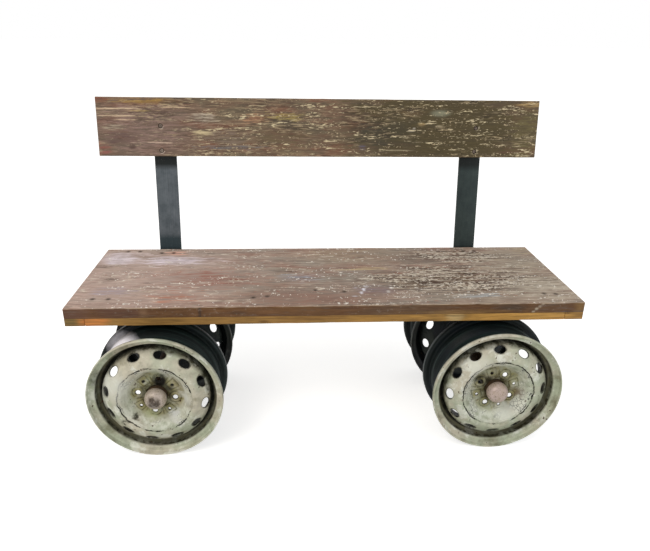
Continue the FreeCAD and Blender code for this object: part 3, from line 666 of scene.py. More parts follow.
def boardRings(board, stations):
    # the outline across the board at each station, round its four eased corners from the front top one:
    # places across and out, and the way that each point faces
    seed, width, thick = board["seed"], board["width"], board["thickness"]
    still = 0 * stations[:, None]
    radii = [r * (1 + 0.4 * layeredNoise(stations / 45, stations * 0 + 7 * i, seed + i))
             for i, r in enumerate(board["arris"])]
    frontTop, rearTop, rearUnder, frontUnder = radii
    centres = [(frontTop, thick - frontTop), (width - rearTop, thick - rearTop),
               (width - rearUnder, rearUnder), (frontUnder, frontUnder)]
    arcs = []
    for index, (radius, (cv, cw)) in enumerate(zip(radii, centres)):
        turn = np.radians(np.linspace(180, 90, 5) - 90 * index)[None, :]
        arcs.append((
            cv[:, None] + radius[:, None] * np.cos(turn), cw[:, None] + radius[:, None] * np.sin(turn),
            np.cos(turn) + still, np.sin(turn) + still))
    columns = []
    spans = ((width, "faceStep"), (thick, "sideStep"), (width, "backStep"), (thick, "sideStep"))
    for index, (span, key) in enumerate(spans):
        arc, following = arcs[index], arcs[(index + 1) % 4]
        columns.append(arc)
        count = int(span / board[key])
        t = (np.arange(1, count) / count)[None, :]
        angle = math.radians(90 - 90 * index)
        columns.append((
            arc[0][:, -1:] * (1 - t) + following[0][:, :1] * t,
            arc[1][:, -1:] * (1 - t) + following[1][:, :1] * t,
            math.cos(angle) + still + 0 * t, math.sin(angle) + still + 0 * t))
    return [np.concatenate([column[k] for column in columns], axis=1) for k in range(4)]


def cutRecesses(work, board):       # walls and floors for the open round holes
    rims = [edge for edge in work.edges if edge.is_boundary]
    if not rims:
        return
    sunkBy = -Vector(board["outAxis"]) * board["recessDepth"] * mm
    made = bmesh.ops.extrude_edge_only(work, edges=rims)["geom"]
    verts = [part for part in made if isinstance(part, bmesh.types.BMVert)]
    bmesh.ops.translate(work, verts=verts, vec=sunkBy)
    bmesh.ops.holes_fill(work, edges=[edge for edge in work.edges if edge.is_boundary], sides=0)


wear = {"endRound": 1.6, "sideDepth": 0.35, "sideRibs": 0.03, "leastPaint": 0.06, "recessFine": 12.0}


def makeBoard(name, nodes, material, board):
    # rings of points set along X; the face at w = thickness is the shown one, and wear goes inwards
    seed, low, high = board["seed"], board["from"], board["to"]
    endRound, fine = wear["endRound"], wear["recessFine"]
    ends = [low, low + 0.6, low + endRound, high, high - 0.6, high - endRound]
    close = [x + np.arange(-fine, fine + 0.1, 1.5) for x, y, r in board["recesses"]]
    stations = np.concatenate([np.arange(low, high, board["step"]), ends] + close)
    stations = np.unique(np.round(stations, 2))
    v, w, outV, outW = boardRings(board, stations)
    u = stations[:, None] + 0 * v
    top = np.clip(outW, 0, 1) ** 2
    depth, sunk, ribbed, coated = [value * top for value in board["wear"](u, v, seed)]
    sides = (1 - top) * wear["sideDepth"] * (1 + layeredNoise(u / 38, (v + w) / 9, seed + 40))
    end = np.minimum(u - low, high - u)
    inset = endRound * (1 - np.sqrt(np.clip(1 - (1 - np.clip(end / endRound, 0, 1)) ** 2, 0, 1)))
    push = depth + sides + inset
    v, w = v - outV * push, w - outW * push
    rows, cols = u.shape
    index, quads = gridQuads(rows, cols)
    flat = np.stack([u.ravel(), v.ravel()], 1)
    holes = [(x, y, r, r, 0.0) for x, y, r in board["recesses"]]
    quads = quads[punch(flat, quads, holes, outW.ravel() > 0.99)]
    us, vs, ws = flat[:, 0], flat[:, 1], w.ravel()
    # colours: patches on the shown face, the calmer ground between them, the front edge, the underside
    tint, zone = blendZones(board["zones"], u, v, seed + 100)
    ground, calm = blendZones(board["grounds"], u, v, seed + 200, 0.2)
    sideways = smoothStep(0.5, 0.9, np.abs(outV))
    if board["frontBase"]:
        front, amount = blendZones(board["frontZones"], u, w, seed + 300)
        amount = np.clip(amount * (1 + 0.5 * layeredNoise(u / 50, w / 5, seed + 320)), 0, 1)[..., None]
        front = front * amount + np.array(toLinear(board["frontBase"])[:3]) * (1 - amount)
        share = sideways[..., None] * (outV < 0)[..., None]
        tint = tint * (1 - share) + front * share
        zone = np.maximum(zone * (1 - share[..., 0]), share[..., 0])
    under = smoothStep(0.3, 0.8, -outW)
    tint = tint * (1 - under[..., None]) + np.array(toLinear(board["under"])[:3]) * under[..., None]
    corner = 1 - np.abs(np.abs(outV * outV - outW * outW))
    amounts = {
        "sunk": sunk, "arris": np.clip(corner * 1.4, 0, 1) * np.where(outW > -0.1, 1, 0.3),
        "zone": np.maximum(zone, under), "painted": np.clip(coated * (1 - sideways), wear["leastPaint"], 1),
        "ribbed": np.maximum(ribbed, wear["sideRibs"] * sideways), "calm": calm * top,
    }
    place = np.stack([us, vs, ws], 1) * mm + np.array([seed * 1.7, seed * 0.3, seed * 0.9])
    points = (np.array(board["origin"])[None, :] + np.outer(us, (1, 0, 0)) * mm
              + np.outer(vs, board["acrossAxis"]) * mm + np.outer(ws, board["outAxis"]) * mm)
    faces = quads.tolist() + [index[0].tolist(), index[-1][::-1].tolist()]
    attributes = [("place", "FLOAT_VECTOR", place)]
    for label, part in (("tint", tint), ("ground", ground)):
        rgba = np.concatenate([part.reshape(-1, 3), np.ones((rows * cols, 1))], 1)
        attributes.append((label, "FLOAT_COLOR", rgba))
    attributes += [(label, "FLOAT", values.ravel()) for label, values in amounts.items()]
    mesh = buildMesh(name, points, faces, attributes)
    work = bmesh.new()
    work.from_mesh(mesh)
    loose = [vert for vert in work.verts if not vert.link_faces]
    bmesh.ops.delete(work, geom=loose, context="VERTS")
    cutRecesses(work, board)
    bmesh.ops.triangulate(work, faces=[face for face in work.faces if len(face.verts) > 4])
    bmesh.ops.recalc_face_normals(work, faces=work.faces)
    work.to_mesh(mesh)
    work.free()
    mesh.set_sharp_from_angle(angle=math.radians(50))
    return addPiece(name, mesh, nodes, material)


# Small old nails and screws in the seat: place along X and back from the seat's front, in mm
oldNails = [
    (-644, 60), (-602, 59), (-635, 430), (-597, 430), (-38, 104), (44, 93), (-211, 59), (-173, 66),
    (613, 63), (646, 60),
]
seatLow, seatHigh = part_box("seat_plank_front")
rearLow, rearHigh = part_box("seat_plank_rear")
seatFront = seatLow.y / mm
barMiddles = [sum(corner.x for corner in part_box("support_bar_" + side)) / 2 / mm
              for side in ("left", "right")]
screwHalf = 19.0        # half the spacing of a pair of screws
screwInset = 38.0       # from the seat's front or rear edge to its screws
rearScrew = (rearHigh.y - seatLow.y) / mm - screwInset
seatScrews = [(x + step, rearScrew) for x in barMiddles for step in (-screwHalf, screwHalf)]


# where the seat is driest: middle and reach in mm, and the share of the reach at which it fades and is full
roughAreas = [(390, 180, 300, 150, 1.15, 0.45), (440, 365, 180, 90, 1.2, 0.5)]


def seatWear(start):
    # how far the top has worn down in mm, how dark it sits, how ribbed it is, and its share of paint;
    # start is how far behind the seat's front edge the plank begins
    def wearAt(u, v, seed):
        back = v + start
        ragged = 0.35 * layeredNoise(u / 70, back / 30, 5)
        rough = 0.6 * smoothStep(0.15, 0.6, layeredNoise(u / 130, back / 60, 77))
        for midU, midV, reachU, reachV, none, full in roughAreas:
            far = np.hypot((u - midU) / reachU, (back - midV) / reachV) + ragged
            rough = np.maximum(rough, smoothStep(none, full, far))
        soft = 0.25 * (1 + layeredNoise(u / 150, back / 45, seed))
        grain = np.abs(layeredNoise(u / 120, back / 4.5, seed + 20, 3))
        bend = 0.6 * waveNoise(u / 200, back / 40, 9)
        ridge = 1 - np.abs(waveNoise(u / 70 + bend, back / 14, seed + 30))
        groove = smoothStep(0.78, 0.98, ridge) * rough
        depth = soft + 0.2 * grain + 1.2 * groove
        stain = 0
        for x, y in oldNails + seatScrews:
            depth = depth + 1.0 * np.exp(-((u - x) ** 2 + (back - y) ** 2) / 30)
            stain = stain + np.exp(-((u - x) ** 2 / 50 + (back - y) ** 2 / 60) ** 2)
        return depth, np.clip(0.3 * groove + 0.9 * stain, 0, 1), rough, 1 + 0 * u
    return wearAt


# Patches of colour: middle and reach in mm, along the seat and back from its front edge, colour, strength
seatZones = [
    # painted reflection: the first two patches, lavender-white at the rear left
    (-471, 346, 130, 44, "#d8cbd1", 0.68), (-650, 361, 80, 60, "#d3c6ca", 0.64),
    (-474, 415, 50, 18, "#d6a592", 0.5), (-354, 190, 190, 80, "#8b5a4b", 0.5),
    (-426, 70, 80, 36, "#a4644b", 0.54), (-606, 103, 70, 40, "#9c919a", 0.45),
    (-267, 39, 90, 10, "#cfc0ae", 0.45), (-75, 191, 80, 34, "#8a919c", 0.5),
    (-60, 215, 60, 16, "#d5d5d6", 0.4), (47, 198, 150, 50, "#8b857a", 0.45),
    (92, 82, 7, 12, "#e6e3ea", 0.8), (101, 106, 6, 18, "#e2dfe8", 0.8), (110, 124, 9, 8, "#dcd9e0", 0.7),
    (80, 118, 10, 6, "#dcd9e0", 0.7), (70, 60, 12, 5, "#e6e3ea", 0.7), (170, 90, 8, 10, "#e6e0d8", 0.7),
    (182, 112, 6, 12, "#e6e0d8", 0.8), (152, 130, 14, 6, "#dcd6ce", 0.6),
    (140, 100, 70, 50, "#756870", 0.45), (288, 342, 130, 44, "#6b574b", 0.55),
    (132, 262, 90, 18, "#b39d7c", 0.5), (340, 170, 230, 90, "#69543f", 0.6),
    (600, 330, 140, 110, "#a39481", 0.5), (620, 120, 120, 110, "#b9ad9b", 0.6),
    (416, 52, 70, 18, "#aab2b6", 0.55), (-690, 230, 30, 260, "#b89e92", 0.5),
    (680, 420, 60, 60, "#a8977a", 0.5), (120, 400, 160, 50, "#9a8770", 0.4),
    (-60, 50, 220, 60, "#87695b", 0.45), (440, 110, 90, 30, "#65513f", 0.45),
]
seatGrounds = [
    # painted light: the first ground makes the seat's left end lighter
    (-560, 230, 350, 340, "#bfa79b", 0.8), (640, 200, 150, 300, "#a89b88", 0.55),
    (-60, 60, 260, 90, "#8d7163", 0.5), (120, 380, 220, 90, "#98866f", 0.45),
    (540, 50, 240, 90, "#a39583", 0.65),
]
# The same on the front edge: along the seat and up from the plank's underside
frontZones = [
    (-690, 15, 60, 40, "#5d3f33", 0.8), (-560, 15, 70, 40, "#563a2f", 0.7),
    (-500, 15, 14, 40, "#7d6046", 0.6), (-350, 15, 5, 40, "#2a1c14", 0.9),
    (-120, 18, 160, 12, "#72502f", 0.5), (60, 24, 120, 8, "#563a28", 0.6),
    (200, 15, 160, 40, "#54402f", 0.6), (330, 6, 200, 8, "#86673a", 0.6), (500, 20, 60, 20, "#463c31", 0.6),
    (600, 15, 60, 40, "#5c4632", 0.5), (692, 15, 18, 50, "#7a5c34", 0.8), (561, 4, 5, 4, "#b5a894", 0.9),
    (569, 12, 6, 5, "#b5a894", 0.9), (578, 20, 6, 5, "#b5a894", 0.8), (586, 27, 6, 4, "#b5a894", 0.8),
    (655, 3, 16, 3, "#1d130c", 1.0), (-250, 12, 22, 5, "#3d2a1c", 0.7), (20, 20, 26, 4, "#3d2a1c", 0.6),
]
gapFill = 1.2           # how far each plank closes the gap between the two, in mm
seatBoard = {
    "from": seatLow.x / mm, "to": seatHigh.x / mm, "step": 4.0,
    "faceStep": 2.0, "sideStep": 2.5, "backStep": 9.0,
    "width": (seatHigh.y - seatLow.y) / mm + gapFill, "thickness": (seatHigh.z - seatLow.z) / mm,
    "arris": (3.2, 1.0, 1.5, 1.5), "seed": 2, "wear": seatWear(0.0), "recesses": [],
    "origin": (0, seatLow.y, seatLow.z), "acrossAxis": (0, 1, 0), "outAxis": (0, 0, 1),
    "zones": seatZones, "grounds": seatGrounds, "under": "#6d5a48",
    "frontBase": "#5d3d20", "frontZones": frontZones,
}
makeBoard("seatPlankFront", ["seat_plank_front"], seatWood, seatBoard)
rearStart = (rearLow.y - seatLow.y) / mm - gapFill
rearBoard = dict(
    seatBoard, width=(rearHigh.y - rearLow.y) / mm + gapFill, seed=3, wear=seatWear(rearStart),
    arris=(1.0, 2.6, 1.5, 1.5), origin=(0, rearLow.y - gapFill * mm, rearLow.z), frontBase=None)
for key in ("zones", "grounds"):
    rearBoard[key] = [(a, b - rearStart, c, d, e, f) for a, b, c, d, e, f in seatBoard[key]]
makeBoard("seatPlankRear", ["seat_plank_rear"], seatWood, rearBoard)
print("stage: seat planks")

# The same on the front of the battens
battenZones = [
    (-690, 10, 26, 40, "#6d5a34", 0.9), (-630, 10, 46, 40, "#b8743c", 0.9),
    (-540, 10, 60, 40, "#96713c", 0.6), (-430, 8, 60, 9, "#7a5a2e", 0.5),
    (-330, 10, 120, 40, "#8a6636", 0.5), (-60, 16, 150, 8, "#6e4c28", 0.5),
    (-180, 6, 18, 6, "#5e4222", 0.7), (150, 10, 120, 40, "#ad813f", 0.6), (230, 5, 20, 5, "#6a4a26", 0.6),
    (345, 10, 26, 40, "#b9a070", 0.7), (520, 10, 190, 40, "#cf9d52", 0.8), (600, 5, 90, 4, "#8a622e", 0.6),
    (660, 20, 14, 3, "#20150c", 1.0), (692, 10, 20, 40, "#9b7440", 0.8),
]


def plainWear(u, v, seed):      # planed battens: hardly worn, with no ribs and no old paint
    return 0.15 * (1 + layeredNoise(u / 120, v / 9, seed)), 0 * u, 0 * u, 0 * u


for part, seed in (("front", 11), ("rear", 12), ("middle", 13), ("left", 14), ("right", 15)):
    low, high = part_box("seat_batten_" + part)
    board = dict(
        seatBoard, width=(high.y - low.y) / mm, thickness=(high.z - low.z) / mm, step=8.0, faceStep=7.0,
        sideStep=2.4, backStep=7.0, arris=(0.7, 0.7, 1.6, 1.6), seed=seed, wear=plainWear,
        origin=(0, low.y, low.z), zones=[], grounds=[], under="#8a6a42",
        frontBase="#94703c" if part in ("front", "left", "right") else None, frontZones=battenZones)
    board["from"], board["to"] = low.x / mm, high.x / mm
    makeBoard("seatBatten" + titleOf(part), ["seat_batten_" + part], battenWood, board)
print("stage: battens")


# Back board: leans back, so its frame is turned about X
back = {
    "lean": 8.1, "height": 181.0, "thickness": 30.0, "boltHeights": (18.0, 94.0), "boltOffset": 5.0,
    "recess": 7.5, "recessDepth": 6.5, "highlightPlace": 8.4, "paleSize": (3.4, 2.2),
}
lean = math.radians(back["lean"])
backUp, backOut = (0, math.sin(lean), math.cos(lean)), (0, -math.cos(lean), math.sin(lean))
backLow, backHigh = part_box("back_board")
# the board's lowest front corner and its hindmost top corner touch its box
backOrigin = Vector((0, backLow.y + back["thickness"] * mm * math.cos(lean), backLow.z))
backBolts = [(x + back["boltOffset"] * side, height) for x, side in zip(barMiddles, (-1, 1))
             for height in back["boltHeights"]]


def backWear(u, v, seed):       # what seatWear gives, with little paint left at the board's left end
    patches = smoothStep(0.05, 0.5, layeredNoise(u / 90, v / 22, seed + 3))
    grain = np.abs(layeredNoise(u / 110, v / 4.5, seed + 20, 3))
    ridge = 1 - np.abs(waveNoise(u / 80, v / 8, seed + 30))
    groove = smoothStep(0.8, 0.99, ridge) * patches
    depth = 0.25 * (1 + layeredNoise(u / 150, v / 40, seed)) + 0.25 * grain + 0.8 * groove
    paint = smoothStep(-520, -260, u + 60 * layeredNoise(u / 60, v / 20, 3)) * 0.75 + 0.25
    return depth, np.clip(0.4 * groove, 0, 1), 0.5 * patches, paint


# Along the board and up from its lower edge
boardZones = [
    (-560, 80, 170, 110, "#846c64", 0.45), (-548, 168, 130, 12, "#91723f", 0.6),
    (-692, 172, 40, 14, "#74463a", 0.5), (-630, 146, 90, 2.6, "#d5bb9e", 1.0),
    (-560, 139, 60, 2.6, "#c9ad70", 0.9), (-640, 124, 78, 2.6, "#d5bb9e", 1.0),
    (-600, 112, 90, 2.6, "#cbb095", 0.9), (-470, 150, 60, 2.6, "#c9ae90", 0.8),
    (-530, 42, 90, 2.8, "#c8ae9c", 0.9), (-636, 58, 70, 30, "#5b4744", 0.6),
    (-600, 31, 16, 10, "#45322e", 0.7), (-650, 90, 40, 12, "#a99d88", 0.6),
    (-686, 21, 30, 22, "#84524a", 0.5), (-380, 118, 50, 22, "#aea190", 0.55),
    (-379, 72, 40, 12, "#bfae8a", 0.7), (-205, 118, 46, 22, "#a07a5e", 0.5),
    (-122, 124, 90, 16, "#9c8a52", 0.55), (-300, 60, 120, 40, "#75665a", 0.4),
    (-300, 28, 140, 8, "#66666a", 0.6), (-123, 60, 130, 50, "#62543f", 0.5),
    (24, 125, 120, 40, "#76584a", 0.4), (-40, 160, 120, 16, "#5a5142", 0.5),
    (390, 90, 350, 170, "#50462f", 0.92), (215, 75, 150, 56, "#3d3c33", 0.8),
    (284, 137, 60, 20, "#97795a", 0.55), (382, 140, 40, 14, "#9a9b85", 1.0),
    (323, 104, 16, 7, "#d6b884", 0.9), (377, 98, 18, 6, "#cfbe9c", 1.0),
    (660, 80, 70, 110, "#6d6343", 0.75), (676, 168, 50, 12, "#b09264", 0.8),
    (130, 30, 16, 12, "#5d5668", 0.7), (288, 84, 12, 3.5, "#e6dccb", 1.0), (297, 91, 6, 5, "#e6dccb", 1.0),
    # the cream marks round the right bolts are painted highlights on the rims of their recesses
    (504, 88, 9, 3, "#d5c7ab", 1.0), (510, 95, 3, 6, "#d5c7ab", 1.0), (508, 22, 3, 8, "#d5c7ab", 1.0),
    (502, 12, 8, 3, "#d5c7ab", 1.0), (250, 22, 60, 2.6, "#b9ab8d", 0.9), (310, 48, 34, 2.6, "#b0a186", 0.8),
]
# painted highlight: pale marks at the lower right of the left bolts' recesses, where their rims catch the
# light
for x, height in [bolt for bolt in backBolts if bolt[0] < 0]:
    for turn in (-0.35, -0.85, -1.35, -1.85):
        across, up = back["highlightPlace"] * math.cos(turn), back["highlightPlace"] * math.sin(turn)
        boardZones.append((x + across, height + up, *back["paleSize"], "#d3c0b2", 0.85))
backBoard = {
    "from": backLow.x / mm, "to": backHigh.x / mm, "step": 4.0,
    "faceStep": 1.6, "sideStep": 3.0, "backStep": 8.0,
    "width": back["height"], "thickness": back["thickness"], "arris": (1.8, 2.4, 1.4, 1.4), "seed": 7,
    "wear": backWear, "origin": tuple(backOrigin), "acrossAxis": backUp, "outAxis": backOut,
    "zones": boardZones, "under": "#5c4c3c", "frontBase": None,
    "grounds": [(420, 90, 380, 200, "#544a34", 0.75), (-560, 70, 200, 120, "#806a62", 0.5)],
    "recesses": [(x, height, back["recess"]) for x, height in backBolts],
    "recessDepth": back["recessDepth"],
}
makeBoard("backBoard", ["back_board"], boardWood, backBoard)
print("stage: back board")


# Steel. Scales are noise cells in a metre; brush is drawn out along the upright.
steelLook = {
    "cloud": 22.0, "grit": 420.0, "brush": (500.0, 60.0, 9.0), "colour": "#4a5156", "second": "#5e6469",
    "bands": [], "tip": None, "spots": 0.68, "spot": "#6a6c68", "rough": (0.3, 0.46), "bump": 0.12,
    "metal": 0.35,
}
rusty = dict(steelLook, spots=0.6, metal=0.1)
# satin paint over hot-rolled bar: blue-grey on the left, near black on the right; painted shade on the
# front, near black under the board and, on the left bar, darker just above the seat
barShadeBands = [
    (backLow.z - 46 * mm, backLow.z - 26 * mm, "#070d0a"),
    (seatHigh.z + 44 * mm, seatHigh.z + 30 * mm, "#2b383d"),
]
barSteels = {
    "left": wornSteel("satin grey-green paint on flat bar, left", dict(steelLook, bands=barShadeBands)),
    "right": wornSteel("satin grey-green paint on flat bar, right", dict(
        steelLook, colour="#232d2d", second="#2f3937", spot="#4a504c", bands=barShadeBands[:1])),
}
# bare tube that has rusted to a dull brown
tubeSteel = wornSteel("rusty mild steel tube", dict(
    rusty, colour="#2c261f", second="#4a3a2a", spot="#6b4426", rough=(0.6, 0.8), bump=0.3))
# pressed caps under dull pinkish paint, the left one grimy round its tip
capLook = dict(
    steelLook, cloud=60.0, grit=300.0, colour="#c0b2a6", second="#988b7a", spots=0.6, spot="#6a5f4e",
    rough=(0.34, 0.5), metal=0.15, bump=0.25, brush=(60.0, 60.0, 60.0))
capSteels = {
    "left": wornSteel("dull worn cap paint, left", dict(capLook, tip=("#2b1d16", 26.0))),
    "right": wornSteel("dull worn cap paint, right", dict(capLook, colour="#c4b0a8", second="#a08f80")),
}
# zinc plate gone grey, bolt heads half under old paint, and nails rusted nearly black
fastenerSteel = wornSteel("dulled zinc-plated steel", dict(
    rusty, colour="#4a453d", second="#6a6255", spot="#5c3d26", rough=(0.4, 0.6), metal=0.6))
boltSteel = wornSteel("bolt heads under old paint", dict(
    rusty, cloud=90.0, colour="#8f8074", second="#2a1f19", spot="#3a2a20", rough=(0.5, 0.7)))
nailSteel = wornSteel("rusted nail", dict(
    rusty, colour="#2a2320", second="#3a2a22", spot="#5c3d26", rough=(0.6, 0.8), metal=0.3))
turned, flatBar, bead = turnedTree(), barTree(), beadTree()


def turnMesh(name, outline, places, axis, sides, material, closed=False, outside=None, dents=0.0):
    # outline points are (radius, height back along the axis) in mm
    core = 1.0
    line = [((r - core) * mm, h * mm, 0.0) for r, h in outline]
    spots = addObject("places", pathMesh(places))
    mesh = growMesh(name, turned, pathMesh(line, closed, outside), {
        "Places": spots, "Axis": axis, "Sides": sides, "Core": core * mm, "Dents": dents,
        "Material": material,
    })
    bpy.data.objects.remove(spots)
    return mesh


barSize = {"width": 70.0, "thickness": 8.0, "bend": 16.0, "edge": 1.0, "stop": 25.0}
for side in ("left", "right"):
    low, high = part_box("support_bar_" + side)
    half = barSize["thickness"] * mm / 2
    reach = (back["height"] - barSize["stop"]) * mm
    top = Vector(backOrigin) + Vector(backUp) * reach - Vector(backOut) * half
    corner = top - Vector(backUp) * ((top.z - low.z - half) / backUp[2])
    middle = (low.x + high.x) / 2
    points = [(middle, low.y, low.z + half), (middle, corner.y, corner.z), (middle, top.y, top.z)]
    sizes = {title: barSize[title.lower()] * mm for title in ("Width", "Thickness", "Edge", "Bend")}
    mesh = growMesh("bar", flatBar, pathMesh(points), dict(sizes, Material=barSteels[side]))
    mesh.set_sharp_from_angle(angle=math.radians(40))
    addPiece("supportBar" + titleOf(side), mesh, ["support_bar_" + side])
print("stage: support bars")


# Wheels
rim = {
    "radius": 182.0, "width": 134.0, "sheet": 3.0, "flange": 11.0, "lipReach": 8.0, "beadRadius": 164.7,
    "beadWidth": 20.0, "beadTaper": 1.8, "wellRadius": 148.0, "frontSlope": 9.0, "wellFloor": 34.0,
    "rearSlope": 18.0, "sides": 240, "dents": 0.5 * mm,
}


def rimOutline():       # a rolled drop-centre rim as (radius, depth), its bends eased
    half = rim["sheet"] / 2
    top, seat = rim["radius"] - half, rim["beadRadius"] - half
    taper, well = seat - rim["beadTaper"], rim["wellRadius"] - half
    frontWall = rim["flange"] - half
    rearWall = rim["width"] - rim["lipReach"] - frontWall
    start = rim["flange"] + rim["beadWidth"]
    floor = start + rim["frontSlope"]
    end = floor + rim["wellFloor"]
    points = [
        (top - 0.5, half - rim["lipReach"]), (top, frontWall), (seat, frontWall), (taper, start),
        (well, floor), (well, end), (taper, end + rim["rearSlope"]), (seat, rearWall), (top, rearWall),
        (top - 0.5, rim["width"] - half),
    ]
    bends = [0, 7.0, 4.5, 4.0, 5.0, 6.0, 7.0, 4.5, 7.0, 0]
    return sheetLoop(roundCorners(points, bends, 12.0), rim["sheet"])


# Zones: measured by radius or by depth, where one begins and ends in mm, each from none to full,
# its least and most cover, and its colour. Patches: middle, inner and outer reach, raggedness in mm,
# strength and colour; painted reflections are given the same way and laid only on the dark back.
paintLook = {
    "green": "#b6bca5", "pink": "#c6c0ad", "pale": "#e2e3d7", "grime": "#757056", "rust": "#4a3424",
    "line": "#201e17", "outside": "#0d1413", "outsideSecond": "#12181c", "scrape": "#2f3d3b",
    "rubbed": "#7d8076", "chips": 0.7, "deep": (200, 240), "crazing": 110.0, "patches": [], "sheens": [],
    "zones": [
        ("radius", (66, 78), (92, 99), (0.0, 0.6), "#dcded2"),
        ("radius", (20, 24), (62, 80), (0.3, 0.8), "#827943"),
        ("radius", (22, 26), (36, 50), (0.3, 0.85), "#352e1c"),
        # a dark band round the disc's edge, where it meets the rim: dirt with painted shade
        ("radius", (134, 142), (147, 150), (0.3, 0.95), "#3d3b2b"),
    ],
    "lines": [{"radius": 99.5, "width": 2.2, "gaps": 0.44, "wander": 12.0},
              {"radius": 95.0, "width": 1.1, "gaps": 0.53, "wander": 20.0}],
}
# inside the front rims from the flange's foot back: darker, then a paler hump, then near black deep in the
# well; dirt with painted shade
rimZones = [
    ("depth", (8.5, 13), (60, 70), (0.6, 1.0), "#343123"),
    ("depth", (21, 26), (32, 35), (0.2, 0.75), "#7d7a61"),
    ("depth", (32, 35), (60, 70), (0.85, 1.0), "#1d1c15"),
]
# painted shade: the rear wheels' enamel is dark all over, for where they sit under the seat
shadedRearPaint = dict(
    paintLook, green="#2a302d", pink="#33363a", pale="#454a46", grime="#1d2220", zones=[], lines=[])
shadedRearRim = dict(
    shadedRearPaint, green="#4a4d49", pink="#4c4e50", pale="#626561",
    zones=[("depth", (7, 11), (60, 70), (0.9, 1.0), "#12171a")])
discPatches = {
    "left": [
        ((12, 21, 42), (12, 24), 24, 1.0, "#14110b"),
        ((34, 21, 20), (4, 16), 24, 0.8, "#2a2416"),
        ((50, 18, -66), (8, 24), 60, 0.9, "#e2e2dd"),
        # painted highlight: a pale stripe on the right wall of the bowl
        ((78, 8, -4), (5, 22), 50, 0.7, "#dfe0d8"),
        ((-72, 8, -66), (2, 16), 90, 0.9, "#2b2a1f"),
        # painted highlight: paler over the left of the disc
        ((-106, 2, 44), (16, 60), 60, 0.65, "#e2e2d8"),
        ((-20, 20, -58), (5, 26), 60, 0.6, "#a9ad84"),
    ],
    "right": [
        ((-48, 21, 36), (6, 20), 40, 0.9, "#17140d"),
        ((-22, 21, 28), (4, 14), 24, 0.9, "#1d190f"),
        ((64, 18, -16), (5, 22), 60, 0.7, "#5f4530"),
        ((30, 14, -68), (14, 38), 60, 0.6, "#dfe2d8"),
        ((-60, -8, 90), (10, 36), 60, 0.6, "#dcdccc"),
    ],
}
rimPatches = {
    "left": [
        ((-50, 6, 174), (3, 9), 12, 0.9, "#3d2c20"),
        ((-150, 20, 60), (8, 30), 50, 0.7, "#1d1b14"),
    ],
    "right": [
        ((110, 12, -100), (8, 30), 50, 0.7, "#26241a"),
    ],
}
# a painted reflection: a near-white glare high on the back of the front left rim
rimPaintedReflections = {"left": [((-114, 46, 112), (50, 84), 14, 1.0, "#fbf8ff")], "right": []}
wheelNames = [row + "_" + side for row in ("front", "rear") for side in ("left", "right")]
hubs = {}
for wheel in wheelNames:
    low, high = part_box("rim_" + wheel)
    hubs[wheel] = Vector(((low.x + high.x) / 2, low.y + rim["lipReach"] * mm, (low.z + high.z) / 2))
    loop, outer = rimOutline()
    row, side = wheel.split("_")
    # the rear rims take the painted shade
    coat = shadedRearRim
    if row == "front":
        coat = dict(paintLook, zones=rimZones, lines=[], patches=rimPatches[side], sheens=rimPaintedReflections[side])
    paint = wheelEnamel("chalky wheel enamel, rim " + row + " " + side, coat)
    mesh = turnMesh("rim", loop, [hubs[wheel]], (0, -1, 0), rim["sides"], paint, True, outer, rim["dents"])
    addPiece("rim" + titleOf(wheel), mesh, ["rim_" + wheel])
print("stage: rims")

disc = {
    "sheet": 3.5, "skirtEnd": 66.0, "shoulder": 16.0, "slopeTop": 112.0, "crown": -8.0,
    "crownOuter": 106.0, "crownInner": 99.0, "crownStep": 2.5, "bowlTop": 92.0, "bowlBottom": 73.0,
    "nave": 22.0, "boreLip": 7.0, "bends": [0, 7, 6, 5, 4, 7, 9, 3.5, 0],
    "vents": 12, "ventWide": 16.5, "ventHigh": 11.0, "ventCircle": 131.5, "slope": 36.0, "gap": 0.3,
    "tube": 27.0, "lugs": 4, "lugCircle": 50.0, "lugHole": 7.5, "lugCone": 10.5, "lugBoss": 15.5,
    "lugHeight": 3.5, "padCircle": 54.0, "padLength": 24.0, "padWidth": 22.0, "padHeight": 3.5,
    "padHole": 4.0, "boreEdge": 33.0, "naveEdge": 72.0, "lip": 1.2, "columns": 288, "row": 2.0,
}
# the turn of each disc's vents and wheel-nut holes, in degrees
discTurns = {
    "front_left": (21.0, 80.5), "front_right": (2.5, 62.0),
    "rear_left": (21.0, 12.0), "rear_right": (8.0, 35.0),
}


def discLine():     # the disc's section from its skirt to its bore, as evenly spaced (radius, depth)
    half = disc["sheet"] / 2
    skirt = rim["wellRadius"] - rim["sheet"] - disc["gap"] - half
    bore = disc["tube"] + disc["gap"] + half
    fall = math.tan(math.radians(disc["slope"]))
    slopeDepth = disc["shoulder"] - (skirt - disc["slopeTop"]) * fall
    points = [
        (skirt, disc["skirtEnd"]), (skirt, disc["shoulder"]), (disc["slopeTop"], slopeDepth),
        (disc["crownOuter"], disc["crown"]), (disc["crownInner"], disc["crown"]),
        (disc["bowlTop"], disc["crown"] + disc["crownStep"]), (disc["bowlBottom"], disc["nave"]),
        (bore, disc["nave"]), (bore, disc["nave"] + disc["boreLip"]),
    ]
    line = roundCorners(points, disc["bends"], 10.0)
    steps = np.linalg.norm(np.diff(line, axis=0), axis=1)
    along = np.concatenate([[0], np.cumsum(steps)])
    even = np.unique(np.concatenate([np.arange(0, along[-1], disc["row"]), [along[-1]]]))
    return np.stack([np.interp(even, along, line[:, k]) for k in range(2)], 1)


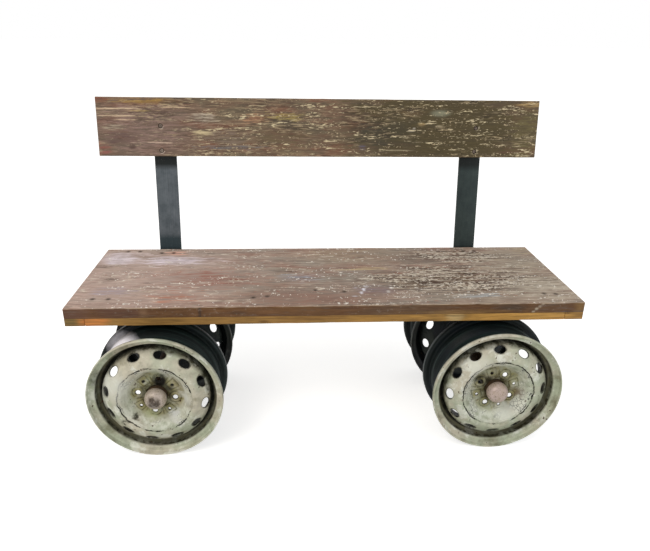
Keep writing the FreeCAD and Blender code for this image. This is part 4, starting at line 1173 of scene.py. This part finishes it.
def naveRelief(x, z, lugTurn):
    # raised nut seats and pads, the grooves between them, and the dirt round them
    rise, dirt = 0 * x, 0 * x
    lobe = math.tau / disc["lugs"]
    hole, cone, boss = disc["lugHole"], disc["lugCone"], disc["lugBoss"]
    for k in range(disc["lugs"]):
        a = lugTurn + k * lobe
        d = np.hypot(x - disc["lugCircle"] * math.cos(a), z - disc["lugCircle"] * math.sin(a))
        swell = disc["lugHeight"] * smoothStep(boss, cone, d)
        seat = disc["lugHeight"] * (1 - smoothStep(hole, cone, d))
        rise = np.maximum(rise, swell - seat * (d < cone))
        dirt = np.maximum(dirt, np.exp(-((d - boss - 0.5) / 1.6) ** 2))
        dirt = np.maximum(dirt, smoothStep(hole + 2.2, hole + 0.4, d))
        a += lobe / 2
        along = x * math.cos(a) + z * math.sin(a) - disc["padCircle"]
        across = z * math.cos(a) - x * math.sin(a)
        endGap = np.abs(along) - disc["padLength"] / 2
        far = np.maximum(endGap, np.abs(across) - disc["padWidth"] / 2 * (1 + along / 90))
        rise = np.maximum(rise, disc["padHeight"] * smoothStep(1.2, -2.4, far))
        dirt = np.maximum(dirt, np.exp(-((far - 1.0) / 1.3) ** 2))
    for k in range(2 * disc["lugs"]):
        a = lugTurn + (k + 0.5) * lobe / 2
        along, across = x * math.cos(a) + z * math.sin(a), z * math.cos(a) - x * math.sin(a)
        groove = np.exp(-(across / 2.2) ** 2) * smoothStep(36, 42, along) * smoothStep(70, 62, along)
        rise = rise - 1.1 * groove
        dirt = np.maximum(dirt, 0.7 * groove)
    return rise, dirt


def discHoles(ventTurn, lugTurn):       # vents, then nut holes and pad holes: place, half sizes, turn
    holes = []
    ventHigh = disc["ventHigh"] * math.cos(math.radians(disc["slope"]))
    for k in range(disc["vents"]):
        a = ventTurn + k * math.tau / disc["vents"]
        reach = disc["ventCircle"]
        holes.append((reach * math.cos(a), reach * math.sin(a), ventHigh, disc["ventWide"], a))
    for k in range(disc["lugs"]):
        for kind, size, turn in (("lugCircle", "lugHole", 0), ("padCircle", "padHole", 0.5)):
            a = lugTurn + (k + turn) * math.tau / disc["lugs"]
            reach = disc[kind]
            holes.append((reach * math.cos(a), reach * math.sin(a), disc[size], disc[size], a))
    return holes


def makeDisc(wheel, coat):      # a grid turned about the axle, punched, pressed and given its wall
    line = discLine()
    ventTurn, lugTurn = (math.radians(t) for t in discTurns[wheel])
    angle = np.arange(disc["columns"]) * math.tau / disc["columns"]
    radius, depth = line[:, 0:1] + 0 * angle, line[:, 1:2] + 0 * angle
    flat = np.stack([(radius * np.cos(angle)).ravel(), (radius * np.sin(angle)).ravel()], 1)
    quads = gridQuads(*radius.shape)[1]
    edge = rim["wellRadius"] - rim["sheet"] - disc["sheet"]
    onFace = (radius.ravel() < edge) & (radius.ravel() > disc["boreEdge"])
    holes = discHoles(ventTurn, lugTurn)
    lip = np.zeros(len(flat))
    for x, z, a, b, turn in holes:
        dx, dz = flat[:, 0] - x, flat[:, 1] - z
        p = (dx * math.cos(turn) + dz * math.sin(turn)) / (a + disc["lip"])
        q = (dz * math.cos(turn) - dx * math.sin(turn)) / (b + disc["lip"])
        lip = np.maximum(lip, smoothStep(1.12, 0.95, np.hypot(p, q)) * onFace)
    keep = punch(flat, quads, holes, onFace)
    # a point that the holes have moved takes its depth from the section at its new radius
    inner = (line[:, 0] < edge + 1) & (line[:, 0] > disc["boreEdge"] - 1)
    section = line[inner][np.argsort(line[inner, 0])]
    newRadius = np.hypot(flat[:, 0], flat[:, 1])
    newDepth = np.where(onFace, np.interp(newRadius, section[:, 0], section[:, 1]), depth.ravel())
    onNave = (newRadius < disc["naveEdge"]) & onFace
    rise, dirt = naveRelief(flat[:, 0], flat[:, 1], lugTurn)
    newDepth, dirt = newDepth - np.where(onNave, rise, 0), np.where(onNave, 0.85 * dirt, 0)
    place = np.stack([flat[:, 0], newDepth, flat[:, 1]], 1) * mm
    used = np.unique(quads[keep])
    renumber = np.zeros(len(flat), int)
    renumber[used] = np.arange(len(used))
    mesh = buildMesh("disc", place[used] + np.array(hubs[wheel]), renumber[quads[keep]], [
        ("place", "FLOAT_VECTOR", place[used]), ("lip", "FLOAT", lip[used]), ("dirt", "FLOAT", dirt[used]),
    ])
    shell = addObject("disc", mesh)
    wall = shell.modifiers.new("sheet", "SOLIDIFY")
    wall.thickness = disc["sheet"] * mm
    wall.offset = 0.0
    wall.use_even_offset = True
    solid = takeMesh(shell)
    solid.shade_smooth()
    solid.set_sharp_from_angle(angle=math.radians(42))
    paint = wheelEnamel("chalky wheel enamel, disc " + wheel.replace("_", " "), coat)
    addPiece("disc" + titleOf(wheel), solid, ["disc_" + wheel], paint)


for wheel in wheelNames:
    row, side = wheel.split("_")
    shownPaint = dict(paintLook, deep=(24, 60), patches=discPatches[side])
    makeDisc(wheel, shownPaint if row == "front" else shadedRearPaint)
print("stage: discs")

hub = {
    "sheet": 2.0, "height": 24.0, "skirt": 7.0, "gap": 0.3, "bossRadius": 7.0, "bossHeight": 2.5,
    "wall": 3.5, "innerEdge": 0.6, "outerEdge": 0.8, "sides": 64,
}


def capOutline(boss):       # a domed cap's outer face, then its inner one
    wide = disc["tube"] + hub["gap"] + hub["sheet"]
    dome = []
    for t in np.linspace(0, 1, 15)[:-1]:
        turn = t * math.pi / 2
        dome.append((wide * math.sin(turn) ** 0.92, -hub["height"] * math.cos(turn) ** 0.9))
    dome += [(wide, 0.0), (wide, hub["skirt"] - 0.6), (wide - 0.6, hub["skirt"])]
    if boss:        # the tip boss, with a soft foot
        r, h, t = hub["bossRadius"], hub["bossHeight"], -hub["height"]
        tip = [(0, t - h), (r * 0.6, t - h), (r * 0.85, t - h * 0.8), (r, t - h * 0.3), (r + 1.2, t + 0.6)]
        dome = tip + [point for point in dome if point[0] > r + 3]
    thin, inside = wide - hub["sheet"], hub["height"] - hub["sheet"]
    lining = [(thin, hub["skirt"]), (thin, 0.0)]
    for t in np.linspace(0.93, 0, 9):
        lining.append((thin * math.sin(t * math.pi / 2), -inside * math.cos(t * math.pi / 2)))
    return dome + lining


for side in ("left", "right"):
    low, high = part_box("axle_tube_" + side)
    place = hubs["front_" + side]
    outer, inner, reach = disc["tube"], disc["tube"] - hub["wall"], (high.y - low.y) / mm
    fine, ease = hub["innerEdge"], hub["outerEdge"]
    ring = [(inner, fine), (inner + fine, 0), (outer - ease, 0), (outer, ease), (outer, reach - ease),
            (outer - ease, reach), (inner + fine, reach), (inner, reach - fine)]
    mesh = turnMesh("tube", ring, [place], (0, -1, 0), hub["sides"], tubeSteel, True, None, 0.3 * mm)
    mesh.set_sharp_from_angle(angle=math.radians(40))
    addPiece("axleTube" + titleOf(side), mesh, ["axle_tube_" + side])
    outline = capOutline(side == "left")
    mesh = turnMesh("cap", outline, [place], (0, -1, 0), hub["sides"], capSteels[side], dents=0.25 * mm)
    addPiece("axleCap" + titleOf(side), mesh, ["axle_cap_" + side])
print("stage: tubes and caps")


# Fastenings: sizes in mm; an outline runs from the head's middle to the tail, as (radius, depth)
fast = {
    "head": 6.5, "headHeight": 5.0, "headProud": 0.8, "shank": 4.0, "tail": 3.0, "nut": 13.0,
    "nutHeight": 6.5, "screw": 3.0, "screwHead": 6.0, "screwHeadHeight": 3.2, "screwSunk": 0.9,
    "underHead": 4.0, "underReach": 40.0, "nailSunk": 1.1,
}
outward = Vector(backOut)
backPlaces = [backOrigin + Vector((x * mm, 0, 0)) + Vector(backUp) * height * mm for x, height in backBolts]
headOut = back["thickness"] * mm - fast["headProud"] * mm
headPlaces = [place + outward * headOut for place in backPlaces]
nutPlaces = [place - outward * barSize["thickness"] * mm for place in backPlaces]
boltEnd = back["thickness"] + barSize["thickness"] + fast["nutHeight"] + fast["tail"]
boltOutline = [
    (0, 1.2), (2.0, 1.2), (2.6, 0.4), (4.6, 0.0), (fast["head"] - 0.4, 1.6), (fast["head"], 3.2),
    (fast["head"] - 0.2, fast["headHeight"]), (fast["shank"], fast["headHeight"]),
    (fast["shank"], boltEnd - 1.0), (3.2, boltEnd - 0.2), (0, boltEnd - 0.2),
]
nutRadius = fast["nut"] / 2 / math.cos(math.pi / 6)
nutOutline = [
    (fast["shank"] + 0.1, 0.3), (nutRadius - 0.6, 0.0), (nutRadius, 0.7),
    (nutRadius, fast["nutHeight"] - 0.7), (nutRadius - 0.6, fast["nutHeight"]),
    (fast["shank"] + 0.1, fast["nutHeight"]),
]
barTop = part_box("support_bar_left")[0].z
topPlaces = [(x * mm, (y + seatFront) * mm, seatHigh.z - fast["screwSunk"] * mm) for x, y in seatScrews]
topReach = (seatHigh.z - barTop) / mm - 1.0
topOutline = [
    (0, 0.8), (1.6, 0.8), (2.0, 0.0), (fast["screwHead"] - 0.4, 0.0), (fast["screwHead"], 0.4),
    (fast["screw"], fast["screwHeadHeight"]), (fast["screw"], topReach), (0, topReach),
]
underPlaces = [((x + step) * mm, (screwInset + seatFront) * mm, barTop - fast["underHead"] * mm)
               for x in barMiddles for step in (-screwHalf, screwHalf)]
underEnd = fast["underHead"] + fast["underReach"]
underOutline = [
    (0, 0.9), (1.8, 0.9), (2.2, 0.1), (4.4, 0.5), (fast["screwHead"] - 0.3, 2.0),
    (fast["screwHead"], fast["underHead"]), (fast["screw"], fast["underHead"]),
    (fast["screw"], underEnd - 3), (0, underEnd - 1),
]
fastenings = [      # outline, places, axis, sides, closed, finish, and the angle past which an edge is sharp
    ("back_bolts", boltOutline, headPlaces, tuple(outward), 24, False, boltSteel, 35),
    ("back_nuts", nutOutline, nutPlaces, tuple(outward), 6, True, fastenerSteel, 25),
    ("seat_screws_top", topOutline, topPlaces, (0, 0, 1), 20, False, nailSteel, 35),
    ("seat_screws_under", underOutline, underPlaces, (0, 0, -1), 20, False, fastenerSteel, 35),
]
for node, outline, places, axis, sides, closed, finish, sharp in fastenings:
    mesh = turnMesh(node, outline, places, axis, sides, finish, closed)
    mesh.set_sharp_from_angle(angle=math.radians(sharp))
    title = titleOf(node)
    addPiece(title[0].lower() + title[1:], mesh, [node])
nailPlaces = [(x * mm, (y + seatFront) * mm, seatHigh.z - fast["nailSunk"] * mm) for x, y in oldNails]
nailOutline = [(0, 0), (2.2, 0.1), (2.8, 0.5), (2.6, 1.4), (1.2, 1.8), (1.2, 24), (0, 26)]
nails = addObject("seatNails", turnMesh("nails", nailOutline, nailPlaces, (0, 0, 1), 14, nailSteel))
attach(nails, "root")

# weld beads brushed over with the wheels' dark paint, rust showing through
weldSteel = wornSteel("painted-over weld", dict(
    rusty, colour="#1d2220", second="#2c2f2a", spots=0.62, spot="#4c3a28", rough=(0.4, 0.6), bump=0.3))
weld = {
    "tubeLeg": 2.6, "barLeg": 3.0, "wedgeLeg": 1.6, "ripple": 3.2, "inset": 1.4, "endInset": 2.2,
    "wedgeStep": 4.4, "wedgeDrop": 0.3, "wedgeFall": 0.055,
}


def addBead(points, leg, closed=False):
    return growMesh("weld", bead, pathMesh(points, closed), {
        "Leg": leg * mm, "Ripple": weld["ripple"] * mm, "Material": weldSteel})


def joinMeshes(meshes):     # several beads as the mesh of one piece
    work = bmesh.new()
    for mesh in meshes:
        work.from_mesh(mesh)
    joined = bpy.data.meshes.new("joined")
    work.to_mesh(joined)
    work.free()
    joined.shade_smooth()
    return joined


for side, sign in (("left", 1), ("right", -1)):
    front, rear = hubs["front_" + side], hubs["rear_" + side]
    low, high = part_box("tube_welds_" + side)
    rings = []
    for depth in (low.y + weld["endInset"] * mm, high.y - weld["endInset"] * mm):
        r = (disc["tube"] + weld["inset"]) * mm
        points = [(front.x + r * math.cos(t), depth, front.z + r * math.sin(t))
                  for t in np.linspace(0, math.tau, 72, endpoint=False)]
        rings.append(addBead(points, weld["tubeLeg"], True))
    addPiece("tubeWelds" + titleOf(side), joinMeshes(rings), ["tube_welds_" + side], weldSteel)
    # on each flange under the bar: a short bead beside it and one in the wedge below
    barLow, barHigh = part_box("support_bar_" + side)
    edgeX = barHigh.x if sign > 0 else barLow.x
    toRear = (rim["width"] - rim["flange"]) * mm
    runs = []
    for start in (front.y + toRear, rear.y, rear.y + toRear):
        points = [(edgeX + sign * weld["inset"] * mm, start + t * rim["flange"] * mm,
                   barLow.z + weld["inset"] * mm) for t in (0.15, 0.5, 0.85)]
        runs.append(addBead(points, weld["barLeg"]))
        wedge = []
        for k in range(7):
            drop = (weld["wedgeDrop"] + weld["wedgeFall"] * k * k) * mm
            across = k * weld["wedgeStep"] * mm * sign * -1
            wedge.append((front.x + across, start + 0.5 * rim["flange"] * mm, barLow.z - drop))
        runs.append(addBead(wedge, weld["wedgeLeg"]))
    addPiece("barWelds" + titleOf(side), joinMeshes(runs), ["bar_welds_" + side], weldSteel)
print("stage: fastenings and welds")


# Floor, lights and camera

def seenDirectly(tree):     # 1 for what the camera, a mirror or glass shows, 0 for light on the object
    path = addNode(tree, "LightPath").outputs
    return addNode(tree, "Math", {0: path["Is Camera Ray"], 1: path["Is Glossy Ray"]}, operation="MAXIMUM")


def makeStage():
    mesh = bpy.data.meshes.new("floor")
    half = 40.0
    corners = [(-half, -half, 0), (half, -half, 0), (half, half, 0), (-half, half, 0)]
    mesh.from_pydata(corners, [], [(0, 1, 2, 3)])
    floor = addObject("floor", mesh)
    material = bpy.data.materials.new("pale studio floor")
    material.use_nodes = True
    tree = material.node_tree
    tree.nodes.clear()
    through = addNode(tree, "LightPath").outputs["Is Transmission Ray"]
    seen = addNode(tree, "Math", {0: seenDirectly(tree), 1: through}, operation="MAXIMUM")
    lit = addNode(tree, "BsdfDiffuse", {"Color": "#f2f2f0"})
    glow = addNode(tree, "Emission", {"Color": "#ffffff", "Strength": 0.62})
    shown = addNode(tree, "AddShader", {0: lit, 1: glow})
    plain = addNode(tree, "BsdfDiffuse", {"Color": "#d8d8d4"})
    mixed = addNode(tree, "MixShader", {0: seen, 1: plain, 2: shown})
    addNode(tree, "OutputMaterial", {0: mixed})
    mesh.materials.append(material)
    world = bpy.data.worlds.new("studio")
    scene.world = world
    world.use_nodes = True
    tree = world.node_tree
    tree.nodes.clear()
    strength = addNode(tree, "MapRange", {"Value": seenDirectly(tree), "To Min": 0.62, "To Max": 1.0})
    sky = addNode(tree, "Background", {"Color": "#ffffff", "Strength": strength})
    addNode(tree, "OutputWorld", {0: sky})


def addLamp(name, place, aim, size, power, colour):
    light = bpy.data.lights.new(name, "AREA")
    light.size = size
    light.energy = power
    light.color = toLinear(colour)[:3]
    lamp = addObject(name, light)
    lamp.location = place
    lamp.rotation_euler = (Vector(aim) - Vector(place)).to_track_quat("-Z", "Y").to_euler()


makeStage()
addLamp("key", (-2.2, -2.4, 3.4), (0, 0, 0.4), 2.2, 70, "#fffaf2")
addLamp("fill", (2.6, -2.0, 1.6), (0, 0, 0.3), 2.6, 18, "#f2f6ff")

# solved from the photograph; angles in degrees, lens in mm
view = {"place": (-0.1207, -1.67935, 1.1172), "pitch": 22.58, "yaw": 4.04, "roll": 1.03, "lens": 33.23}
pitch, yaw, roll = (math.radians(view[key]) for key in ("pitch", "yaw", "roll"))
ahead = Vector((math.sin(yaw) * math.cos(pitch), math.cos(yaw) * math.cos(pitch), -math.sin(pitch)))
right = Vector((math.cos(yaw), -math.sin(yaw), 0))
up = right.cross(ahead)
rightRolled = right * math.cos(roll) + up * math.sin(roll)
upRolled = up * math.cos(roll) - right * math.sin(roll)
lens = bpy.data.cameras.new("photo view")
lens.lens, lens.sensor_width = view["lens"], 36.0
lens.clip_start, lens.clip_end = 0.05, 200.0
camera = addObject("photo view", lens)
turn = Matrix((rightRolled, upRolled, -ahead)).transposed()
camera.matrix_world = Matrix.Translation(view["place"]) @ turn.to_4x4()
scene.camera = camera
scene.view_settings.view_transform = "Standard"
print("stage: studio")
